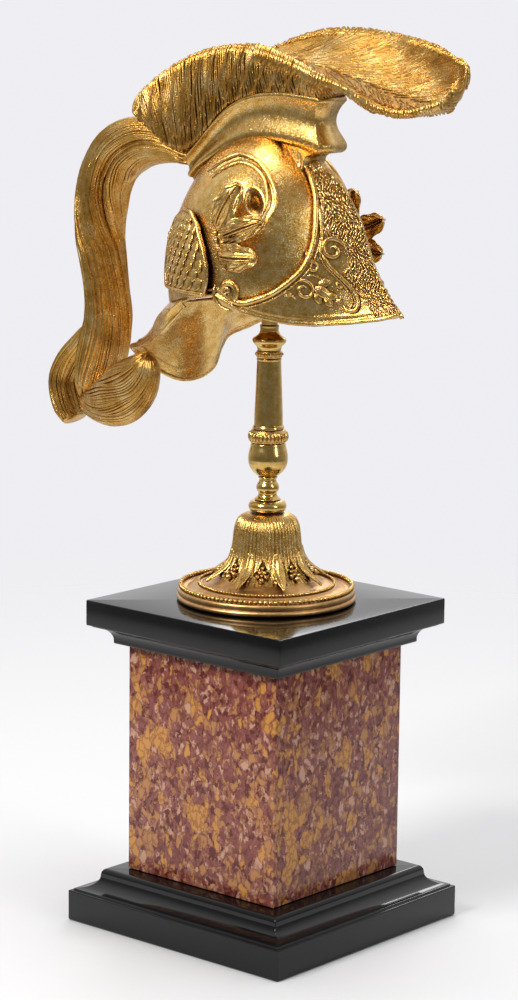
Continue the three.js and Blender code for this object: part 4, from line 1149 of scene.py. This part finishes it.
def makeGuard(look):
    columns, rows = 181, 34
    edge = alongLine(look["edge"], columns)
    share = np.linspace(0, 1, columns)
    degrees = -look["startDegrees"] - (360 - 2 * look["startDegrees"]) * share
    top = bowlAt(degrees, rimZ(degrees) - look["topGap"])
    middle = np.array(look["centre"])
    grids = []
    for out in (0.0, look["wall"]):
        grid = []
        for t in np.linspace(0, 1, rows):
            sag = (-2.4 + 3.6 * smoothStep(share, 0.12, 0.42)) * math.sin(math.pi * t ** 1.2)
            p = top + (edge - top) * t
            inward = middle - p
            inward[:, 2] = 0
            inward = unit(inward)
            ripple = (0.3 * np.sin(share * 46 + 3 * t) + 0.15 * np.sin(share * 83 - 7 * t)
                      + 0.4 * np.sin(share * 21 + 6 * t)) * math.sin(math.pi * t)
            wall = out * (1 - 0.35 * t)
            p = p + inward * (sag + wall + ripple)[:, None]
            p[:, 2] += -0.35 * sag - 0.3 * wall
            grid.append(p)
        grids.append(np.array(grid))
    points = np.vstack([g.reshape(-1, 3) for g in grids])
    sheet = finishMesh("guardSheet", points, facingOut(points, sheetFaces(rows, columns)), fireGilt)
    lip = (grids[0][-1] + grids[1][-1]) / 2
    ridge = grids[0][-5] * 0.55 + grids[1][-5] * 0.45
    border = wiresAlong("guardLip", [lip, ridge], [taper(columns, 0.5, 0.06), 0.75 * taper(columns, 0.2, 0.1)],
                        look["rim"], fireGilt, 0.0, 10)
    settle(joinPieces("neckGuard", [sheet, border]), "gilt_bronze", "neck_guard")


makeGuard(guardLook)


# the crest box, a waisted comb that carries the plume
crestLook = {
    "faceHeight": 23, "noseLength": 14, "rows": 150,
    "stations": [(-43.5, 0, 340, -39.5, 332), (-36, 0, 347, -35, 336.5), (-26, 0, 357, -28, 340.5),
                 (-16, 0, 365, -18, 345.8), (-4.5, 0, 369.6, -6.7, 350), (9.5, 0, 371.6, 7.5, 350.6),
                 (23.5, 0, 371.2, 24, 348.5), (33.5, 0, 370.3, 33.5, 346)],
    "section": [(0, 9.3, 0.3), (0.03, 9.6, 0), (0.075, 9.6, 0), (0.11, 9.15, 0.6), (0.2, 8.1, 2.0), (0.32, 7.3, 3.1),
                (0.44, 7.0, 3.4), (0.56, 7.4, 2.8), (0.67, 8.3, 1.5), (0.76, 9.1, 0.2), (0.84, 9.5, -0.6),
                (0.92, 9.3, -0.4), (0.975, 8.6, 0.9), (1.0, 7.6, 4.0), (1.03, 7.0, 7.5), (1.12, 6.9, 9.2),
                (1.28, 7.4, 10), (1.45, 8.6, 10.4), (1.7, 10.6, 10.6)],
}


def makeCrest(look):
    rows, high = look["rows"], look["faceHeight"]
    stations = alongLine(look["stations"], rows)
    # the section's points are spaced in millimetres
    fine, half, back = alongLine(np.array(look["section"]) * (high, 1, 1), 84).T
    fine = fine / high
    rings = []
    for x, _, z, bx, bz in stations:
        nose = 1 - smoothStep(stations[-1][0] - x, 0, look["noseLength"])
        px = x + (bx - x) * fine - back * nose
        pz = z + (bz - z) * fine
        near = np.stack([px, -half, pz], 1)
        rings.append(np.vstack([near, near[::-1] * np.array([1, -1, 1])]))
    rings = np.array(rings)
    count = rings.shape[1]
    points = list(rings.reshape(-1, 3))
    faces = gridFaces(rows, count)
    end = (rows - 1) * count
    for k in range(count // 2 - 1):
        faces.append((end + k, end + k + 1, end + count - 2 - k, end + count - 1 - k))
    points.append(rings[0].mean(0))
    for k in range(count):
        faces.append(((k + 1) % count, k, len(points) - 1))
    settle(finishMesh("crestBox", points, facingOut(points, faces), fireGilt), "gilt_bronze", "crest_box")


makeCrest(crestLook)
print("neck guard and crest box done")


# the plume
# stations from the rear to the front: right rim, left rim, root, half width of the root, how far
# the underside has left the crest, and how deep the dish is
plumeStations = [
    (-79, -3, 361, -79, 3, 362, -77.5, 0, 357, 3, 0, 0.18),
    (-72, -5.5, 367.5, -72, 5, 368.5, -66, 0, 351, 6, 0, 0.18),
    (-57, -6.5, 377, -57, 6, 378, -51, 0, 345, 8, 0, 0.18),
    (-39, -7, 385.3, -40, 6, 385.6, -38, 0, 347, 9, 0, 0.18),
    (-20, -7, 389.8, -21, 6, 390, -20, 0, 363.8, 9.2, 0, 0.18),
    (-4, -7.5, 389.9, -6, 4, 389, -5, 0, 370.3, 9.2, 0, 0.35),
    (9, -9, 387.6, 3, 10, 393.2, 9, 0, 372.3, 9.2, 0, 0.52),
    (22, -10, 383.7, 11, 15, 396.4, 21, 0, 371.4, 9, 0, 0.69),
    (36, -12, 379.4, 20, 19, 398, 32, 0, 370.2, 8.6, 0, 0.86),
    (50, -14, 376, 34, 22, 398.2, 43, -1, 370.6, 8, 0.75, 1),
    (64, -16, 370.2, 51, 22, 396.6, 60, 0, 377, 8, 1, 1),
    (77, -18, 366.8, 66, 18.8, 394.7, 72, 0, 377, 8, 1, 1),
    (89.5, -17.5, 366.8, 80, 15, 392, 85, 0, 377, 8, 1, 1),
    (98, -13.5, 370.4, 92, 9, 388.4, 95.5, 0, 378.5, 6, 1, 1),
]
plumeLook = {"rows": 120, "thickness": 4.2, "depth": 6.5, "tip": (102.6, -1.5, 379.5), "closing": 12,
             "finHairs": 230, "dishHairs": 230, "rimTufts": 125, "radius": 0.46, "seed": 21}


def plumeGrids(look):
    # three grids over the plume: right wall, hollow top and left wall, with rims in common
    stations = alongLine(plumeStations, look["rows"])
    top, right, left, bottom = [], [], [], []
    for s in stations:
        rimR, rimL, root = s[0:3], s[3:6], s[6:9]
        rootHalf, dished, share = s[9], np.clip(s[10], 0, 1), s[11]
        across = rimL - rimR
        down = unit(np.array([0, across[2], -across[1]]))
        t = np.linspace(0, 1, 29)[:, None]
        depth = look["depth"] * share * np.sin(np.pi * t) ** 0.8
        top.append(rimR + across * t + down * depth)
        for rim, sign, grid in ((rimR, -1, right), (rimL, 1, left)):
            foot = root + np.array([0, sign * rootHalf, 0])
            tt = 0.25 if sign < 0 else 0.75
            under = rimR + across * tt + down * (look["depth"] * share * math.sin(math.pi * tt) ** 0.8
                                                 + look["thickness"])
            target = foot + (under - foot) * dished
            begin = rim + down * 1.6 + np.array([0, sign * 1.1 * (1 - 0.3 * dished), 0])
            w = np.linspace(0, 1, 15)[:, None]
            bulge = np.sin(np.pi * w) * np.array([0, sign * 0.8, 0])
            grid.append(begin + (target - begin) * w + bulge)
        middle = rimR + across * 0.5 + down * (look["depth"] * share + look["thickness"])
        bottom.append(root + (middle - root) * dished)
    return np.array(top), np.array(right), np.array(left), np.array(bottom)


def closeTip(grid, tip, steps):
    # further rows that draw the last row together round the tip
    last, rows = grid[-1], []
    for share in np.linspace(0, 0.93, steps + 1)[1:]:
        draw = math.sqrt(1 - share * share)
        row = tip + (last - tip) * draw
        row[:, 0] = last[:, 0] + (tip[0] - last[:, 0]) * share
        rows.append(row)
    return np.concatenate([grid, np.array(rows)])


def gridAt(grid, u, v):
    # bilinear place on a grid of points; u and v run from 0 to 1
    rows, columns = grid.shape[:2]
    a = np.clip(np.asarray(u, float), 0, 1) * (rows - 1)
    b = np.clip(np.asarray(v, float), 0, 1) * (columns - 1)
    i, j = np.minimum(a.astype(int), rows - 2), np.minimum(b.astype(int), columns - 2)
    p, q = (a - i)[..., None], (b - j)[..., None]
    return (grid[i, j] * (1 - p) * (1 - q) + grid[i + 1, j] * p * (1 - q)
            + grid[i, j + 1] * (1 - p) * q + grid[i + 1, j + 1] * p * q)


def gridNormals(grid, axis, sign):
    # the grid's normals, all turned to the same side of one axis
    out = unit(np.cross(np.gradient(grid, axis=0), np.gradient(grid, axis=1)))
    return out * np.sign(sign * out[..., axis:axis + 1] + 1e-6)


def makePlume(look):
    rng = np.random.default_rng(look["seed"])
    tip = np.array(look["tip"], float)
    top, right, left, bottom = plumeGrids(look)
    top, right, left = (closeTip(g, tip, look["closing"]) for g in (top, right, left))
    bottom = closeTip(bottom[:, None, :], tip, look["closing"])
    rings = np.concatenate([right[:, ::-1], top, left, bottom], axis=1)
    centre = rings.mean(1, keepdims=True)
    body = tubeMesh("plumeBody", centre + (rings - centre) * np.array([0.985, 0.965, 1.0]), hairGilt)
    outR, outL, upT = gridNormals(right, 1, -1), gridNormals(left, 1, 1), gridNormals(top, 2, 1)
    lines, widths = [], []
    # upright hair on both walls, from the crest to past the rim
    for wall, out, over in ((right, outR, 0.0), (left, outL, 1.0)):
        for layer in range(2):
            for k in range(look["finHairs"]):
                u = (k + rng.uniform(0.1, 0.9)) / look["finHairs"] * 0.98 + 0.004
                steps = 12
                w = np.linspace(1.04 if layer == 0 else rng.uniform(0.55, 0.9), 0, steps)
                clump = 0.0022 * np.sin(u * 170) * (1 - w)
                lean = u + rng.uniform(-0.004, 0.004) * (1 - w) + clump + 0.003 * np.sin(w * 8 + u * 160)
                p = gridAt(wall, lean, w) + gridAt(out, lean, w) * (0.1 + 0.25 * layer + 0.3 * np.sin(
                    np.pi * np.minimum(w, 1))[:, None] * rng.uniform(0, 1))
                p[w > 1, 2] -= 0.8
                crown = gridAt(top, lean[-1:], np.array([over]))
                end = crown + np.array([rng.uniform(-0.3, 0.3), 0, rng.uniform(0.0, 0.7)])
                inside = gridAt(top, lean[-1:], np.array([0.09 if over == 0 else 0.91])) + np.array([0, 0, 0.3])
                lines.append(np.vstack([p, end, inside]))
                widths.append(np.concatenate([np.linspace(0.8, 1.1, steps), [1.0, 0.5]]) * rng.uniform(0.75, 1.25))
    # hair that fans over the hollow from its root to the rim
    for k in range(look["dishHairs"] * 2):
        far = k % 3 != 0
        start = rng.uniform(0.36, 0.93)
        spread = rng.uniform(0.20, 0.34) if far else rng.uniform(0.05, 0.12)
        steps = 16
        s = np.linspace(rng.uniform(0, 0.25), 1, steps)
        u = start + spread * s ** 0.9
        v = 0.34 + (0.66 * s ** 1.15 if far else -0.34 * s ** 1.1) + 0.012 * np.sin(s * 11 + k)
        keep = u < 0.995
        if keep.sum() < 6:
            continue
        p = gridAt(top, u, v) + gridAt(upT, u, v) * 0.1
        lines.append(p[keep])
        widths.append((np.linspace(0.5, 1.0, steps) * rng.uniform(0.7, 1.3))[keep])
    # short tufts wrapped over the thick right rim
    for k in range(look["rimTufts"]):
        u = 0.40 + 0.6 * (k + rng.uniform(0, 0.8)) / look["rimTufts"]
        w = rng.uniform(0.25, 0.5)
        a = gridAt(right, np.array([u - 0.006, u - 0.003, u]), np.array([w, w * 0.5, 0.04]))
        a = a + gridAt(outR, np.array([u, u, u]), np.array([w, w * 0.5, 0.04])) * 0.55
        crown = gridAt(top, np.array([u]), np.array([0.0])) + np.array([[0, -0.5, 1.0 + rng.uniform(0, 0.7)]])
        b = gridAt(top, np.array([u + 0.004, u + 0.01]), np.array([0.07, 0.07 + rng.uniform(0.05, 0.1)]))
        lines.append(np.vstack([a, crown, b + np.array([0, 0, 0.35])]))
        widths.append(np.array([1.0, 1.7, 2.1, 2.1, 1.7, 0.7]) * rng.uniform(0.8, 1.2))
    hairs = wiresAlong("plumeHairs", lines, widths, look["radius"], hairGilt, 0.2, 4, look["seed"])
    settle(joinPieces("plume", [body, hairs]), "gilt_bronze", "plume")


makePlume(plumeLook)
print("plume done")


# the hair tail, three locks that end in curls
# locks: middle of the section, half thickness, half breadth and turn of the section in degrees
tailLocks = {
    "main": [(-42.5, 0, 339.5, 3, 6, 0), (-48, 0, 341, 4.8, 7, 0), (-55, 0, 343.2, 6.5, 7.5, 0),
             (-67, 0, 345, 9.5, 9, 0), (-79, 0, 344, 12.5, 11, 0),
             (-90, 0, 339, 13.5, 12.5, 0), (-98, 0, 328.5, 12.5, 13, 0), (-101.5, 0, 315, 11.5, 13, 0),
             (-102, 0, 302, 10.5, 12.5, 0), (-100, 0, 290, 9.5, 12, 0), (-98, 0, 277, 9, 11.5, 0),
             (-97, 0, 265, 10, 12, 0), (-99, 0, 253, 11.5, 12.5, 0), (-102, 0, 243, 11.5, 12, 0),
             (-103, -1, 232, 9.5, 11, 0), (-103, -2, 223.5, 5, 7, 0)],
    "left": [(-106, 2, 259, 4, 7, 0), (-113.5, 2, 250, 6, 8.5, 0), (-121.5, 2, 241.5, 6.5, 9, 0),
             (-125.5, 1, 232, 6.5, 8.5, 0), (-122.5, 0, 221, 6, 8, 0), (-118, 0, 214.5, 4.5, 7, 0)],
    "right": [(-105, -4, 226, 5, 6, 0), (-97, -6.5, 225.5, 8.5, 8, 0), (-87, -9.5, 227.5, 12, 9, 0),
              (-77, -11.5, 232, 14, 9, 0), (-68, -13, 238, 13, 8, 0), (-62.5, -14, 244, 10, 6.5, 0),
              (-59.5, -14.5, 249.5, 6, 4.5, 0), (-58, -15, 253, 1.2, 1.2, 0)],
}
tailLook = {"mainHairs": 150, "leftHairs": 60, "rightHairs": 84, "radius": 0.55, "slim": 0.93, "seed": 33,
            # turn of the hair round the tail, in degrees, at each share of its length
            "twist": [(0.0, -100), (0.17, -92), (0.25, -75), (0.33, -60), (0.42, -46), (0.50, -22), (0.57, 0),
                      (0.66, 12), (0.75, 15), (0.88, 10), (1.0, -5)],
            "groove": [(0.10, 0.0), (0.20, 0.5), (0.28, 1.0), (0.44, 1.0), (0.55, 0.55), (0.70, 0.2), (1.0, 0.0)]}


def lockGrid(stations, rows, sides, dent=None):
    line = alongLine(stations, rows)
    forward = unit(np.gradient(line[:, :3], axis=0))
    side = unit(np.array([0, 1.0, 0]) - forward * forward[:, 1:2])
    out = np.cross(forward, side)
    angle = np.linspace(0, 2 * np.pi, sides, endpoint=False)
    s = np.linspace(0, 1, rows)
    size = 1 - (dent(s[:, None], angle[None, :]) if dent else 0) * np.ones((rows, sides))
    a = line[:, 3:4] * np.cos(angle) * size * tailLook["slim"]
    b = line[:, 4:5] * np.sin(angle) * size * tailLook["slim"]
    return line[:, None, :3] + a[..., None] * out[:, None, :] + b[..., None] * side[:, None, :]


def lockAt(grid, s, degrees):
    # place on a lock: share of its length and the angle round its section
    wrapped = np.concatenate([grid, grid[:, :1]], axis=1)
    return gridAt(wrapped, s, (np.asarray(degrees, float) % 360) / 360)


def hairsOnLock(rng, grid, count, turnAt, lift, steps, spread, wave):
    middle = grid.mean(1)
    rows = len(middle)
    lines, widths = [], []
    for k in range(count):
        first = 360 * (k + rng.uniform(0, 0.8)) / count
        s = np.linspace(spread[0] + rng.uniform(0, 0.06), spread[1] - rng.uniform(0, 0.03), steps)
        clump = 2.5 * np.sin(math.radians(first) * 11 + s * 5)
        degrees = first + turnAt(s) + wave * np.sin(s * 11 + math.radians(first) * 4) + clump + rng.uniform(-2, 2)
        p = lockAt(grid, s, degrees)
        core = np.stack([np.interp(s * (rows - 1), np.arange(rows), middle[:, i]) for i in range(3)], 1)
        lines.append(p + unit(p - core) * (lift * rng.uniform(-0.4, 1.0)))
        widths.append(taper(steps, 0.3, 0.08) * rng.uniform(0.7, 1.3))
    return lines, widths


def makeTail(look):
    rng = np.random.default_rng(look["seed"])
    twistLine, grooveLine = np.array(look["twist"]), np.array(look["groove"])

    def twist(s):
        return np.interp(s, twistLine[:, 0], twistLine[:, 1])

    def groove(s, angle):
        away = (np.degrees(angle) - twist(s) + 180) % 360 - 180
        deep = np.interp(s, grooveLine[:, 0], grooveLine[:, 1])
        side = 0.10 * np.exp(-((away - 45) / 26) ** 2) + 0.10 * np.exp(-((away + 62) / 20) ** 2)
        return deep * (0.42 * np.exp(-(away / 11) ** 2) + 0.5 * side)

    main = lockGrid(tailLocks["main"], 150, 96, groove)
    left = lockGrid(tailLocks["left"], 60, 48)
    right = lockGrid(tailLocks["right"], 60, 48)
    parts, lines, widths = [], [], []
    for grid in (main, left, right):
        core = grid.mean(1, keepdims=True)
        parts.append(tubeMesh("lock", core + (grid - core) * 0.98, hairGilt))
    # each coat of hair: lock, count, turn along it, lift, steps, stretch that it covers, wave
    for coat in ((main, look["mainHairs"], twist, 0.25, 46, (0.0, 1.0), 3.0),
                 (main, look["mainHairs"] // 2, twist, 0.6, 26, (0.3, 0.8), 3.0),
                 (left, look["leftHairs"], lambda s: 25 * s, 0.2, 22, (0.0, 1.0), 2.0),
                 (right, look["rightHairs"], lambda s: -70 * s, 0.2, 24, (0.0, 1.0), 3.0)):
        found = hairsOnLock(rng, *coat)
        lines += found[0]
        widths += found[1]
    parts.append(wiresAlong("tailHairs", lines, widths, look["radius"], hairGilt, 0.2, 5, look["seed"]))
    settle(joinPieces("plumeTail", parts), "gilt_bronze", "plume_tail")


makeTail(tailLook)
print("tail done")

for pattern in ("beadShape", "gadroonShape", "hairStroke", "sprayLeaf", "plateScale"):
    bpy.data.objects.remove(bpy.data.objects[pattern])


# camera, floor and light
viewLook = {"place": (892.0, -1040.7, 455.3), "target": (0.0, 0.0, 195.5), "lens": 114.0, "sensor": 36.0, "roll": 0.7,
            "shiftX": -0.0086, "shiftY": -0.0076}


def makeCamera(look):
    data = bpy.data.cameras.new("camera")
    data.lens = look["lens"]
    data.sensor_width = look["sensor"]
    data.shift_x, data.shift_y = look["shiftX"], look["shiftY"]
    data.clip_start, data.clip_end = 0.05, 50
    camera = bpy.data.objects.new("camera", data)
    bpy.context.scene.collection.objects.link(camera)
    place, target = Vector(look["place"]) * mm, Vector(look["target"]) * mm
    aim = (target - place).to_track_quat("-Z", "Y").to_matrix()
    turn = math.radians(look["roll"])
    right, up = aim.col[0].copy(), aim.col[1].copy()
    aim.col[0] = right * math.cos(turn) + up * math.sin(turn)
    aim.col[1] = up * math.cos(turn) - right * math.sin(turn)
    camera.matrix_world = aim.to_4x4()
    camera.location = place
    bpy.context.scene.camera = camera


makeCamera(viewLook)

studioLook = {"paper": "#CFCFD0", "paperRoughness": 0.9, "floorHalf": 3.0, "fadeFrom": 0.3, "fadeTo": 0.95,
              "seenAir": 0.98, "seenColour": "#F1F0F4", "brightWay": (-0.47, 0.55, 0.69),
              "airFrom": -0.75, "airTo": 0.95,
              # soft lights: place, target, width, height, power, colour
              "lights": {"keyLight": ((-0.15, -1.35, 1.25), (0, 0, 0.28), 0.45, 0.45, 24.0, "#FFFDF8"),
                         "fillLight": ((1.6, 0.1, 0.9), (0, 0, 0.25), 0.3, 0.9, 6.0, "#FFFFFF"),
                         "topLight": ((0.1, 0.1, 1.7), (0, 0, 0.2), 0.5, 0.5, 10.0, "#FFFFFF"),
                         "backLight": ((-0.9, 1.3, 1.1), (0, 0, 0.3), 0.6, 0.6, 6.0, "#FFFFFF")},
              # brightness of the air for reflections, from its dim near side to its bright far side
              "air": [(0.0, "#747476"), (0.3, "#7E7F81"), (0.6, "#A6A7AA"), (0.9, "#FAFAFC")]}


def softLight(name, place, target, width, height, power, colour):
    data = bpy.data.lights.new(name, "AREA")
    data.shape = "RECTANGLE"
    data.size, data.size_y = width, height
    data.energy = power
    data.color = linear(colour)[:3]
    light = bpy.data.objects.new(name, data)
    bpy.context.scene.collection.objects.link(light)
    light.location = place
    light.rotation_euler = (Vector(target) - Vector(place)).to_track_quat("-Z", "Y").to_euler()


def makeStudio(look):
    paper = bpy.data.materials.new("studioPaper")
    paper.use_nodes = True
    shader = paper.node_tree.nodes["Principled BSDF"]
    shader.inputs["Base Color"].default_value = linear(look["paper"])
    shader.inputs["Roughness"].default_value = look["paperRoughness"]
    place = addNode(paper.node_tree, "ShaderNodeTexCoord").outputs["Object"]
    far = addNode(paper.node_tree, "ShaderNodeVectorMath", None, {0: place}, operation="LENGTH")
    fade = addNode(paper.node_tree, "ShaderNodeMapRange", {"From Min": look["fadeFrom"], "From Max": look["fadeTo"],
                                                           "To Min": 1.0, "To Max": 0.0},
                   {"Value": far.outputs["Value"]}, interpolation_type="SMOOTHSTEP")
    paper.node_tree.links.new(fade.outputs["Result"], shader.inputs["Alpha"])
    h = look["floorHalf"]
    mesh = bpy.data.meshes.new("floor")
    mesh.from_pydata([(-h, -h, 0), (h, -h, 0), (h, h, 0), (-h, h, 0)], [], [(0, 1, 2, 3)])
    mesh.materials.append(paper)
    floor = bpy.data.objects.new("floor", mesh)
    bpy.context.scene.collection.objects.link(floor)
    world = bpy.data.worlds.new("studio")
    bpy.context.scene.world = world
    world.use_nodes = True
    tree = world.node_tree
    sky = tree.nodes["Background"]
    way = addNode(tree, "ShaderNodeTexCoord").outputs["Generated"]
    along = addNode(tree, "ShaderNodeVectorMath", {1: look["brightWay"]}, {0: way}, operation="DOT_PRODUCT")
    share = addNode(tree, "ShaderNodeMapRange", {"From Min": look["airFrom"], "From Max": look["airTo"]},
                    {"Value": along.outputs["Value"]})
    tree.links.new(colourRamp(tree, share.outputs["Result"], look["air"]), sky.inputs["Color"])
    seen = addNode(tree, "ShaderNodeBackground", {"Color": linear(look["seenColour"]),
                                                  "Strength": look["seenAir"]})
    path = addNode(tree, "ShaderNodeLightPath")
    mix = addNode(tree, "ShaderNodeMixShader", None, {0: path.outputs["Is Camera Ray"]})
    tree.links.new(sky.outputs[0], mix.inputs[1])
    tree.links.new(seen.outputs[0], mix.inputs[2])
    tree.links.new(mix.outputs[0], tree.nodes["World Output"].inputs["Surface"])
    for name, values in look["lights"].items():
        softLight(name, *values)
    bpy.context.scene.view_settings.view_transform = "Standard"


makeStudio(studioLook)
print("camera and studio done")
